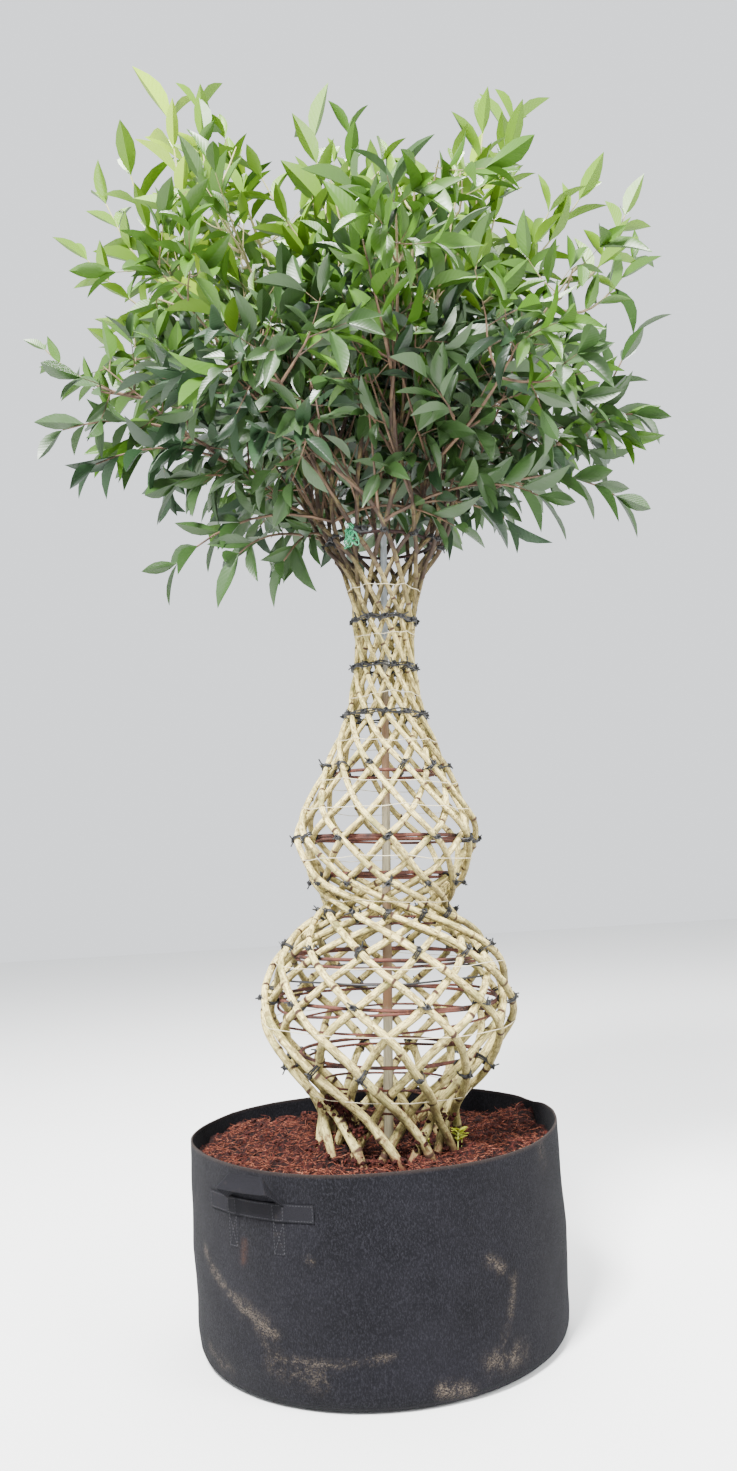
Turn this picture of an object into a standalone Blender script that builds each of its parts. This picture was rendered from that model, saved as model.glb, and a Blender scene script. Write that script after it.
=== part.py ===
"""Osmanthus in a felt grow bag, its stems woven as a gourd-shaped basket under a leafy crown.

Twenty-four slim stems rise from the soil. Twelve wind one way outside, twelve wind the other
way inside, and they cross in rows as a diamond lattice with two bellies, a waist and a neck.
Iron rings brace the lattice from inside and a pole stands on its axis. Above the top ring each
stem runs on as a bough, and each bough's tip carries one mass of foliage.

Units are metres, +Z is up. The origin is the middle of the bag's underside, and the front of
the plant faces -Y. Nothing here reads or writes a file.
"""

import bisect
import math
import random

import bmesh
import bpy
from mathutils import Matrix, Vector
from mathutils.bvhtree import BVHTree

GAP = 0.0003
UP = Vector((0.0, 0.0, 1.0))
ACROSS = Vector((0.31, 0.94, 0.12))
SHARP_DEG = 40.0
WELD = 1e-5

# Grow bag
BAG_RIM_RADIUS = 0.410
BAG_BELLY_RADIUS = 0.414
BAG_FOOT_RADIUS = 0.405
BAG_HEIGHT = 0.438
BAG_EDGE_ROUND = 0.030
EDGE_CUT = 0.3
FELT = 0.004
BAG_SIDES = 36

# Soil
SOIL_TOP = 0.380
SOIL_AT_WALL = 0.386
SOIL_PLATEAU_RADIUS = 0.300

# Webbing handles
WEBBING = 0.0025
STRAP_WIDTH = 0.034
STRAP_BOTTOM = 0.348
STRAP_FROM_DEG = -145.0
STRAP_TO_DEG = -107.0
LEG_WIDTH_DEG = 4.0
LEG_BOTTOM = 0.285
LEG_MIDDLES_DEG = (-134.0, -117.6)
GRIP_TOP = 0.424
GRIP_REACH = 0.040
GRIP_TILT = 0.018
GRIP_STEPS = 10
GRIP_LAP = 0.006
LEG_LAP = 0.004

# Woven trunk: the foot of its axis, a little over the soil, its lean, and the stems each way
TRUNK_FOOT = Vector((0.031, 0.0, 0.394))
LEAN_DEG = 3.0
STEMS_EACH_WAY = 12
PITCH_DEG = 360.0 / STEMS_EACH_WAY
ROW_DEG = PITCH_DEG / 2
FRONT_DEG = -90.0
NARROW_RADIUS = 0.140
CROSSING_SLACK = 1.08
SLOPE_STEP = 0.004

# Basket outline: height above the axis's foot and radius over the outer stems
FOOT = (-0.060, 0.167)
ANKLE = (0.070, 0.163)
LOWER_RISE = (0.180, 0.237)
LOWER_BELLY = (0.300, 0.297)
LOWER_SHOULDER = (0.390, 0.276)
LOWER_FALL = (0.450, 0.236)
WAIST = (0.538, 0.150)
UPPER_RISE = (0.610, 0.190)
UPPER_BELLY = (0.700, 0.217)
UPPER_SHOULDER = (0.800, 0.174)
UPPER_FALL = (0.905, 0.124)
NECK_FOOT = (0.990, 0.093)
NECK = (1.130, 0.073)
NECK_TOP = (1.240, 0.081)
THROAT = (1.330, 0.106)
TOP_RING = (1.388, 0.143)
OUTLINE = (
    FOOT, ANKLE, LOWER_RISE, LOWER_BELLY, LOWER_SHOULDER, LOWER_FALL, WAIST, UPPER_RISE,
    UPPER_BELLY, UPPER_SHOULDER, UPPER_FALL, NECK_FOOT, NECK, NECK_TOP, THROAT, TOP_RING,
)

# How far a stem has turned, in degrees below the top ring, and its height there
TURNS = (
    (0.0, TOP_RING[0]), (30.0, 1.284), (60.0, 1.203), (150.0, 0.974), (195.0, 0.850),
    (240.0, 0.686), (270.0, 0.590), (315.0, 0.534), (360.0, 0.479), (390.0, 0.390),
    (420.0, 0.264), (435.0, 0.184), (450.0, 0.121), (465.0, 0.073), (480.0, 0.023), (495.0, -0.045),
)
FOOT_TURN_DEG = 495.0

# Stem radius by height above the axis's foot, and at a bough's tip
STEM_RADII = (
    (-0.05, 0.0113), (0.05, 0.0107), (0.35, 0.0090), (0.75, 0.0074), (1.10, 0.0062), (1.39, 0.0058),
)
BOUGH_TIP_RADIUS = 0.0048
BOUGH_POINTS = 5
OUTER_BOUGH_FLARE = 0.50
INNER_BOUGH_FLARE = 0.36
BOUGH_SETTLE = 0.3
BOUGH_STUB = 0.03
THROAT_POINTS = 3

# Pole and iron rings
POLE_RADIUS = 0.011
POLE_TOP = 1.460
POLE_SPARE = 0.050
POLE_SIDES = 10
ROD_RADIUS = 0.004
RING_POINTS = 24
RING_TURNS_DEG = {
    "ring_top": 0.0,
    "ring_upper_bulb_high": 195.0,
    "ring_upper_bulb_middle": 240.0,
    "ring_upper_bulb_low": 270.0,
    "ring_lower_bulb_high": 375.0,
    "ring_lower_bulb_middle": 405.0,
    "ring_lower_bulb_low": 435.0,
}

# Crown: for each kind of mass, where its stem starts and ends, as (out, height), and how its
# leaves hang. Starts are measured from CROWN_FOOT and ends from CROWN_MIDDLE.
CROWN_FOOT = Vector((0.090, 0.0, 0.0))
CROWN_MIDDLE = Vector((0.065, 0.0, 0.0))
MASS_KINDS = {
    "skirt": {"start": (0.25, 1.94), "end": (0.53, 2.08), "droop": 0.45},
    "shoulder": {"start": (0.27, 2.06), "end": (0.56, 2.34), "droop": 0.15},
    "flank": {"start": (0.24, 2.16), "end": (0.43, 2.56), "droop": 0.05},
    "crest": {"start": (0.18, 2.20), "end": (0.34, 2.70), "droop": 0.0},
    "centre_low": {"start": (0.06, 2.02), "end": (0.08, 2.24), "droop": 0.1},
    "centre_middle": {"start": (0.05, 2.14), "end": (0.06, 2.46), "droop": 0.0},
    "centre_high": {"start": (0.04, 2.32), "end": (0.04, 2.62), "droop": 0.0},
}
OUTER_KINDS = ("skirt", "shoulder") * (STEMS_EACH_WAY // 2)
INNER_KINDS = ("flank", "crest", "centre_low", "crest", "flank", "crest", "centre_middle", "crest",
               "flank", "crest", "centre_high", "crest")

# Masses that end elsewhere than their kind: the photographed outline's spurs and dips
OUTER_ENDS = {4: (0.58, 2.08), 10: (0.61, 2.25)}
INNER_ENDS = {
    1: (0.34, 2.58), 3: (0.44, 2.84), 5: (0.30, 2.78),
    7: (0.34, 2.80), 9: (0.40, 2.70), 11: (0.30, 2.54),
}
TIP_DRIFT_DEG = 22.0
AZIMUTH_JITTER_DEG = 3.0
HEIGHT_JITTER = 0.03
CROWN_SEED = 7

# Twigs of a mass: side twigs stand in pairs along its stem, each pair a quarter turn on
TWIG_SIDES = 3
MASS_STEM_RADIUS = 0.0060
SIDE_TWIG_RADIUS = 0.0042
TWIG_TAPER = 0.55
TWIG_SPACING = 0.18
FIRST_TWIG = 0.45
FEWEST_TWIG_PAIRS = 2
SIDE_TWIG_LENGTH = 0.12
SIDE_TWIG_SPREAD = (0.8, 1.15)
SIDE_TWIG_DEG = 58.0
SIDE_TWIG_LIFT = 0.12
TWIG_ROOT = 0.003

# Leaves, larger than life: one straight on and a pair beside it at the end of each twig
LEAF_LENGTH = 0.185
LEAF_WIDTH = 0.098
LEAF_THICKNESS = 0.005
LEAF_ROOT = 0.0015
LEAF_WIDEST = 0.45
LEAF_THICKEST = 0.10
LEAF_DEG = 52.0
LEAF_ROLL = 0.35
LEAF_WANDER = 0.09
END_LEAF = 1.05
TUFT_STEP = 0.018
TUFT_ROOT = 0.004

# A leaf that doesn't fit is tried again, this much smaller each time, down to the smallest
LEAF_STEP = 0.85
SMALLEST_LEAF = 0.56
CLEAR_FROM = 0.12
CELL_MARGIN = 0.006
LIMB_MARGIN = 0.004


def smooth_value(points, at):
    """Reads a smooth curve through (position, value) pairs, with no overshoot between them."""
    places = [place for place, _ in points]
    index = min(max(bisect.bisect_right(places, at) - 1, 0), len(points) - 2)

    def slope(i):
        if i in (0, len(points) - 1):
            i = min(max(i, 1), len(points) - 2)
        (xa, ya), (xb, yb), (xc, yc) = points[i - 1], points[i], points[i + 1]
        before, after = (yb - ya) / (xb - xa), (yc - yb) / (xc - xb)
        if before * after <= 0:
            return 0.0
        return 2 * before * after / (before + after)

    (x0, y0), (x1, y1) = points[index], points[index + 1]
    span = x1 - x0
    t = (at - x0) / span
    s0, s1 = slope(index) * span, slope(index + 1) * span
    return y0 + s0 * t + (3 * (y1 - y0) - 2 * s0 - s1) * t**2 + (s0 + s1 - 2 * (y1 - y0)) * t**3


def polar(radius, degrees, height):
    angle = math.radians(degrees)
    return Vector((radius * math.cos(angle), radius * math.sin(angle), height))


def lean_matrix():
    """The trunk's own frame: its foot just over the soil, its axis leaning towards +X."""
    return Matrix.Translation(TRUNK_FOOT) @ Matrix.Rotation(math.radians(LEAN_DEG), 4, "Y")


def new_material(name, color, roughness, metallic=0.0):
    material = bpy.data.materials.new(name)
    material.use_nodes = True
    shader = material.node_tree.nodes["Principled BSDF"]
    shader.inputs["Base Color"].default_value = (*color, 1.0)
    shader.inputs["Roughness"].default_value = roughness
    shader.inputs["Metallic"].default_value = metallic
    return material


def add_object(name, data, collection, material, parent=None):
    obj = bpy.data.objects.new(name, data)
    collection.objects.link(obj)
    obj.parent = parent
    data.materials.append(material)
    return obj


def mesh_of(bm, name, smooth=False):
    """A mesh from the pieces drawn so far, its faces turned outwards."""
    mesh = bpy.data.meshes.new(name)
    bmesh.ops.recalc_face_normals(bm, faces=bm.faces)
    bm.to_mesh(mesh)
    bm.free()
    if smooth:
        mesh.shade_smooth()
        mesh.set_sharp_from_angle(angle=math.radians(SHARP_DEG))
    return mesh


def turned(name, profile, collection, material):
    """A shape turned round Z from (radius, height) points that run down its outer side."""
    bm = bmesh.new()
    points = [bm.verts.new((radius, 0.0, height)) for radius, height in profile]
    for lower, upper in zip(points, points[1:]):
        bm.edges.new((lower, upper))
    mesh = bpy.data.meshes.new(name)
    bm.to_mesh(mesh)
    bm.free()
    obj = add_object(name, mesh, collection, material)
    screw = obj.modifiers.new("Turn", "SCREW")
    screw.steps = screw.render_steps = BAG_SIDES
    screw.use_merge_vertices = True
    screw.merge_threshold = 0.0001
    screw.use_smooth_shade = True
    return obj


def tube_curve(name, points, radii, normals, cyclic=False):
    """A four-sided tube along the points, turned so that one corner faces each point's normal."""
    curve = bpy.data.curves.new(name, "CURVE")
    curve.dimensions = "3D"
    curve.twist_mode = "Z_UP"
    curve.bevel_depth = 1.0
    curve.bevel_resolution = 0
    curve.use_fill_caps = True
    spline = curve.splines.new("POLY")
    spline.points.add(len(points) - 1)
    spline.use_cyclic_u = cyclic
    count = len(points)
    for i, (point, radius, normal) in enumerate(zip(points, radii, normals)):
        before = points[i - 1] if cyclic or i > 0 else point
        after = points[(i + 1) % count] if cyclic or i < count - 1 else point
        tangent = ((after - point).normalized() + (point - before).normalized()).normalized()
        spline.points[i].co = (*point, 1.0)
        spline.points[i].radius = radius
        spline.points[i].tilt = corner_tilt(tangent, normal)
    return curve


def corner_tilt(tangent, normal):
    """The curve tilt that turns a Z-up section until its corner faces the normal."""
    upright = (UP - tangent * UP.dot(tangent)).normalized()
    facing = (normal - tangent * normal.dot(tangent)).normalized()
    return math.atan2(tangent.dot(upright.cross(facing)), upright.dot(facing))


def curve_as_mesh(curve, name):
    """The tube as a closed mesh, its caps welded to its sides."""
    helper = bpy.data.objects.new(name, curve)
    bpy.context.scene.collection.objects.link(helper)
    graph = bpy.context.evaluated_depsgraph_get()
    mesh = bpy.data.meshes.new_from_object(helper.evaluated_get(graph))
    bpy.data.objects.remove(helper)
    bpy.data.curves.remove(curve)
    bm = bmesh.new()
    bm.from_mesh(mesh)
    bpy.data.meshes.remove(mesh)
    bmesh.ops.remove_doubles(bm, verts=bm.verts, dist=WELD)
    return bm


def bag_profile():
    """The bag's wall in section: up the inside, over the rim, down the outside to the middle."""
    outer = [
        (BAG_RIM_RADIUS, BAG_HEIGHT),
        (BAG_BELLY_RADIUS, BAG_HEIGHT / 2),
        (BAG_FOOT_RADIUS, BAG_EDGE_ROUND),
        (BAG_FOOT_RADIUS - BAG_EDGE_ROUND * EDGE_CUT, BAG_EDGE_ROUND * EDGE_CUT),
        (BAG_FOOT_RADIUS - BAG_EDGE_ROUND, 0.0),
    ]
    inner = [(radius - FELT, height) for radius, height in outer[:3]]
    inner.append((BAG_FOOT_RADIUS - BAG_EDGE_ROUND, FELT))
    return [(0.0, FELT)] + inner[::-1] + outer + [(0.0, 0.0)]


def bag_radius(height):
    """The bag's outer radius at a height above its rounded foot."""
    foot, belly = (BAG_EDGE_ROUND, BAG_FOOT_RADIUS), (BAG_HEIGHT / 2, BAG_BELLY_RADIUS)
    return straight_value((foot, belly, (BAG_HEIGHT, BAG_RIM_RADIUS)), height)


def straight_value(points, at):
    """Reads straight stretches between (position, value) pairs."""
    for (x0, y0), (x1, y1) in zip(points, points[1:]):
        if at <= x1:
            break
    return y0 + (y1 - y0) * (at - x0) / (x1 - x0)


def facet_factor(degrees):
    """How much nearer the axis the bag's flat facet lies than its corners do."""
    facet = 360.0 / BAG_SIDES
    from_middle = (degrees % facet) - facet / 2
    return math.cos(math.radians(facet / 2)) / math.cos(math.radians(from_middle))


def soil_profile():
    """Soil that fills the bag, a little higher along the wall."""
    clear = FELT + GAP * 2
    wall = bag_radius(SOIL_AT_WALL) - clear
    return [
        (0.0, SOIL_TOP),
        (SOIL_PLATEAU_RADIUS, SOIL_TOP),
        (wall, SOIL_AT_WALL),
        (BAG_BELLY_RADIUS - clear, BAG_HEIGHT / 2),
        (BAG_FOOT_RADIUS - clear, BAG_EDGE_ROUND),
        (BAG_FOOT_RADIUS - BAG_EDGE_ROUND - clear, FELT + GAP),
        (0.0, FELT + GAP),
    ]


def band_corners(from_deg, to_deg, steps=0):
    """Azimuths along a band: evenly spaced, or with no steps given, at every corner of the bag."""
    if steps:
        return [from_deg + (to_deg - from_deg) * i / steps for i in range(steps + 1)]
    facet = 360.0 / BAG_SIDES
    first = math.floor(from_deg / facet) + 1
    last = math.ceil(to_deg / facet)
    return [from_deg] + [facet * i for i in range(first, last)] + [to_deg]


def webbing_band(corners, bottom, top, reach=None):
    """A strip of webbing along the bag's wall, standing off the felt by reach(degrees, height)."""
    bm = bmesh.new()
    rows = []
    for offset in (GAP, GAP + WEBBING):
        for height in (bottom, top):
            row = []
            for degrees in corners:
                radius = bag_radius(height) * facet_factor(degrees) + offset
                radius += reach(degrees, height) if reach else 0.0
                row.append(bm.verts.new(polar(radius, degrees, height)))
            rows.append(row)
    inner_low, inner_high, outer_low, outer_high = rows
    faces = ((inner_low, inner_high), (outer_low, outer_high))
    edges = ((inner_low, outer_low), (inner_high, outer_high))
    for one, other in faces + edges:
        for i in range(len(corners) - 1):
            bm.faces.new((one[i], one[i + 1], other[i + 1], other[i]))
    for i in (0, -1):
        bm.faces.new((inner_low[i], inner_high[i], outer_high[i], outer_low[i]))
    return bm


def union_mesh(name, pieces):
    """One closed mesh from bmesh pieces that overlap, joined by one Boolean on a collection."""
    scratch = bpy.data.collections.new(name + "_pieces")
    bpy.context.scene.collection.children.link(scratch)
    objects = []
    for i, bm in enumerate(pieces):
        mesh = mesh_of(bm, f"{name}_{i}")
        obj = bpy.data.objects.new(mesh.name, mesh)
        objects.append(obj)
    target, others = objects[0], objects[1:]
    bpy.context.scene.collection.objects.link(target)
    for obj in others:
        scratch.objects.link(obj)
    union = target.modifiers.new("Join", "BOOLEAN")
    union.operation = "UNION"
    union.operand_type = "COLLECTION"
    union.collection = scratch
    union.solver = "EXACT"
    graph = bpy.context.evaluated_depsgraph_get()
    joined = bpy.data.meshes.new_from_object(target.evaluated_get(graph))
    joined.name = name
    for obj in objects:
        mesh = obj.data
        bpy.data.objects.remove(obj)
        bpy.data.meshes.remove(mesh)
    bpy.data.collections.remove(scratch)
    return largest_body(joined)


def largest_body(mesh):
    """The mesh with loose scraps and sealed hollows dropped: only its largest body stays."""
    bm = bmesh.new()
    bm.from_mesh(mesh)
    unseen = set(bm.faces)
    bodies = []
    while unseen:
        body, front = set(), [unseen.pop()]
        while front:
            face = front.pop()
            body.add(face)
            for edge in face.edges:
                for other in edge.link_faces:
                    if other in unseen:
                        unseen.remove(other)
                        front.append(other)
        bodies.append(body)
    bodies.sort(key=lambda faces: sum(face.calc_area() for face in faces), reverse=True)
    for body in bodies[1:]:
        bmesh.ops.delete(bm, geom=list(body), context="FACES")
    bm.to_mesh(mesh)
    bm.free()
    mesh.materials.clear()
    return mesh


def handle_mesh():
    """A sewn strap, the two ends of the loop sewn over it, and the loop standing off the felt."""
    low_deg, high_deg = LEG_MIDDLES_DEG
    half = LEG_WIDTH_DEG / 2
    middle = (low_deg + high_deg) / 2
    half_loop = high_deg - middle + half
    strap_top = STRAP_BOTTOM + STRAP_WIDTH
    grip_bottom = strap_top - GRIP_LAP

    def loop_reach(degrees, height):
        """Out to the full reach over a third of the way from either end, less towards the top."""
        share = min(3.0 * (1.0 - abs(degrees - middle) / half_loop), 1.0)
        tilt = GRIP_TILT * (height - grip_bottom) / (GRIP_TOP - grip_bottom)
        return (GRIP_REACH - tilt) * max(share, 0.0)

    pieces = [webbing_band(band_corners(STRAP_FROM_DEG, STRAP_TO_DEG), STRAP_BOTTOM, strap_top)]
    for leg in LEG_MIDDLES_DEG:
        pieces.append(webbing_band(band_corners(leg - half, leg + half), LEG_BOTTOM, strap_top - LEG_LAP))
    grip = band_corners(low_deg - half, high_deg + half, GRIP_STEPS)
    pieces.append(webbing_band(grip, grip_bottom, GRIP_TOP, loop_reach))
    return union_mesh("handle", pieces)


def outline_radius(height):
    return smooth_value(OUTLINE, min(max(height, OUTLINE[0][0]), OUTLINE[-1][0]))


def outline_normal(height):
    """The basket wall's outward direction at a height, as (outward, upward) shares."""
    step = SLOPE_STEP
    slope = (outline_radius(height + step) - outline_radius(height - step)) / (2 * step)
    return Vector((1.0, -slope)).normalized()


def stem_radius(height):
    return smooth_value(STEM_RADII, min(max(height, STEM_RADII[0][0]), STEM_RADII[-1][0]))


def lattice_point(turn_deg, azimuth_deg, depth):
    """A point of the basket wall, this deep under the middle of its outer stems, and its normal."""
    height = smooth_value(TURNS, turn_deg)
    outward, upward = outline_normal(height)
    radius = outline_radius(height) - stem_radius(height) * outward
    at = polar(radius - depth * outward, azimuth_deg, height - depth * upward)
    return at, polar(outward, azimuth_deg, upward)


def inner_depth(height):
    """How deep the inner stems' middles lie under the outer stems' middles."""
    return 2 * stem_radius(height) * CROSSING_SLACK + GAP


def row_turns():
    """The turns at which a stem gets a point: every row, but every second one where it is narrow."""
    turns = []
    row = 0
    while row * ROW_DEG <= FOOT_TURN_DEG:
        turn = row * ROW_DEG
        if row % 2 == 0 or outline_radius(smooth_value(TURNS, turn)) > NARROW_RADIUS:
            turns.append(turn)
        row += 1
    return turns


def mass_name(kinds, number):
    """The mass's plain name: its kind, numbered where there are several."""
    kind = kinds[number]
    if kinds.count(kind) == 1:
        return f"foliage_{kind}"
    return f"foliage_{kind}_{kinds[:number + 1].count(kind)}"


def mass_plan(rng):
    """For each stem: its mass's name, where its bough ends and how the mass's stem runs on."""
    to_trunk = lean_matrix().inverted()
    plan = {}
    for inside, kinds, ends, drift in (
        (False, OUTER_KINDS, OUTER_ENDS, -TIP_DRIFT_DEG),
        (True, INNER_KINDS, INNER_ENDS, TIP_DRIFT_DEG),
    ):
        for number, kind in enumerate(kinds):
            sizes = MASS_KINDS[kind]
            azimuth = FRONT_DEG + PITCH_DEG * number + drift
            azimuth += rng.uniform(-AZIMUTH_JITTER_DEG, AZIMUTH_JITTER_DEG)
            lift = rng.uniform(-HEIGHT_JITTER, HEIGHT_JITTER)
            out, height = ends.get(number, sizes["end"])
            tip = CROWN_FOOT + polar(sizes["start"][0], azimuth, sizes["start"][1] + lift)
            end = CROWN_MIDDLE + polar(out, azimuth, height + lift)
            plan[inside, number] = {
                "name": mass_name(kinds, number),
                "tip": to_trunk @ tip,
                "course": (to_trunk.to_3x3() @ (end - tip)).normalized(),
                "length": (end - tip).length,
                "droop": sizes["droop"],
            }
    return plan


def bough_points(start, heading, tip, course, flare):
    """A bough's middle line from the top ring to its tip, leaving along the stem's own heading."""
    reach = (tip - start).length
    end = tip - course * BOUGH_STUB
    first = start + heading * reach * flare
    last = end - course * reach * BOUGH_SETTLE
    points = []
    for i in range(1, BOUGH_POINTS):
        t = i / (BOUGH_POINTS - 1)
        s = 1 - t
        points.append(start * s**3 + first * 3 * s * s * t + last * 3 * s * t * t + end * t**3)
    return points + [tip]


def stem_path(inside, number, plan):
    """Middle line, radii and section normals of one stem, from under the soil to its bough's tip."""
    sense = -1.0 if inside else 1.0
    points, radii, normals = [], [], []
    for turn in reversed(row_turns()):
        height = smooth_value(TURNS, turn)
        depth = inner_depth(height) if inside else 0.0
        azimuth = FRONT_DEG + PITCH_DEG * number + sense * turn
        at, normal = lattice_point(turn, azimuth, depth)
        points.append(at)
        radii.append(stem_radius(height))
        normals.append(normal)
    mass = plan[inside, number]
    heading = (points[-1] - points[-2]).normalized()
    flare = INNER_BOUGH_FLARE if inside else OUTER_BOUGH_FLARE
    bough = bough_points(points[-1], heading, mass["tip"], mass["course"], flare)
    for i, at in enumerate(bough, start=1):
        share = i / BOUGH_POINTS
        radii.append(radii[-1] + (BOUGH_TIP_RADIUS - radii[-1]) * share)
        normals.append(normals[-1])
    return points + bough, radii, normals


def cut_at_soil(bm):
    """Cuts a stem flat just over the soil and closes the cut."""
    to_trunk = lean_matrix().inverted()
    plane = to_trunk @ Vector((TRUNK_FOOT.x, TRUNK_FOOT.y, SOIL_TOP + GAP))
    normal = to_trunk.to_3x3() @ UP
    whole = list(bm.verts) + list(bm.edges) + list(bm.faces)
    bmesh.ops.bisect_plane(bm, geom=whole, plane_co=plane, plane_no=normal, clear_inner=True)
    edges = [edge for edge in bm.edges if edge.is_boundary]
    bmesh.ops.holes_fill(bm, edges=edges)


def build_stem(name, path, collection, material, trunk):
    points, radii, normals = path
    bm = curve_as_mesh(tube_curve(name, points, radii, normals), name)
    cut_at_soil(bm)
    return add_object(name, mesh_of(bm, name), collection, material, trunk)


def build_pole(collection, material, trunk):
    bm = bmesh.new()
    length = POLE_TOP + POLE_SPARE
    place = Matrix.Translation((0.0, 0.0, POLE_TOP - length / 2))
    bmesh.ops.create_cone(bm, cap_ends=True, segments=POLE_SIDES, radius1=POLE_RADIUS,
                          radius2=POLE_RADIUS, depth=length, matrix=place)
    cut_at_soil(bm)
    return add_object("pole", mesh_of(bm, "pole", smooth=True), collection, material, trunk)


def build_ring(name, turn, collection, material, trunk):
    """An iron rod bent to a hoop, seated inside the inner stems where they cross the outer ones."""
    height = smooth_value(TURNS, turn)
    depth = inner_depth(height) + stem_radius(height) + ROD_RADIUS + GAP
    points, normals = [], []
    for i in range(RING_POINTS):
        at, normal = lattice_point(turn, FRONT_DEG + 360.0 * i / RING_POINTS, depth)
        points.append(at)
        normals.append(normal)
    curve = tube_curve(name, points, [ROD_RADIUS] * RING_POINTS, normals, cyclic=True)
    return add_object(name, mesh_of(curve_as_mesh(curve, name), name), collection, material, trunk)


def segment_distance(point, start, end):
    along = end - start
    t = (point - start).dot(along) / along.length_squared
    return (point - start - along * min(max(t, 0.0), 1.0)).length


def tree_of(mesh):
    """A search tree of a mesh's faces, for telling whether another shape cuts through them."""
    bm = bmesh.new()
    bm.from_mesh(mesh)
    tree = BVHTree.FromBMesh(bm)
    bm.free()
    return tree


class Crown:
    """The spaces that the masses keep to, and the limbs that their twigs and leaves stay off."""

    def __init__(self, plan, paths, stems):
        self.spines = {}
        for key, mass in plan.items():
            self.spines[key] = (mass["tip"], mass["tip"] + mass["course"] * mass["length"])
        self.limbs = []
        for points, radii, _ in paths.values():
            pairs = list(zip(points, radii))[-BOUGH_POINTS - THROAT_POINTS:]
            self.limbs += [(a, b, max(ra, rb)) for (a, ra), (b, rb) in zip(pairs, pairs[1:])]
        self.trees = [tree_of(stem.data) for stem in stems]

    def holds(self, key, point, near=0.0):
        """Whether the point lies in this mass's own space, off every limb."""
        own = segment_distance(point, *self.spines[key]) + CELL_MARGIN
        for other, spine in self.spines.items():
            if other != key and segment_distance(point, *spine) < own:
                return False
        room = LIMB_MARGIN + near
        return all(segment_distance(point, a, b) > radius + room for a, b, radius in self.limbs)


def twig_piece(start, end, radius):
    """A tapering three-sided twig."""
    bm = bmesh.new()
    along = end - start
    place = Matrix.Translation((start + end) / 2) @ along.to_track_quat("Z", "Y").to_matrix().to_4x4()
    bmesh.ops.create_cone(bm, cap_ends=True, segments=TWIG_SIDES, radius1=radius,
                          radius2=radius * TWIG_TAPER, depth=along.length, matrix=place)
    return bm


def leaf_frame(root, course, face):
    """Axes of a leaf: x across it, y towards its tip, z out of its upper face."""
    across = course.cross(face).normalized()
    return Matrix.Translation(root) @ Matrix((across, course, across.cross(course))).transposed().to_4x4()


def leaf_piece(frame, size):
    """A leaf as a low pyramid: a pointed outline below and a ridge that is highest near its root."""
    bm = bmesh.new()
    bmesh.ops.create_cone(bm, cap_ends=True, segments=4, radius1=1.0, radius2=0.0, depth=2.0)
    length, width = LEAF_LENGTH * size, LEAF_WIDTH * size
    for vert in bm.verts:
        x, y, z = vert.co
        if z > 0.0:
            vert.co = (0.0, LEAF_THICKEST * length, LEAF_THICKNESS)
        elif abs(x) > 0.5:
            vert.co = (x * width / 2, LEAF_WIDEST * length, 0.0)
        else:
            vert.co = (0.0, length if y > 0.0 else 0.0, 0.0)
    bm.transform(frame)
    return bm


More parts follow.
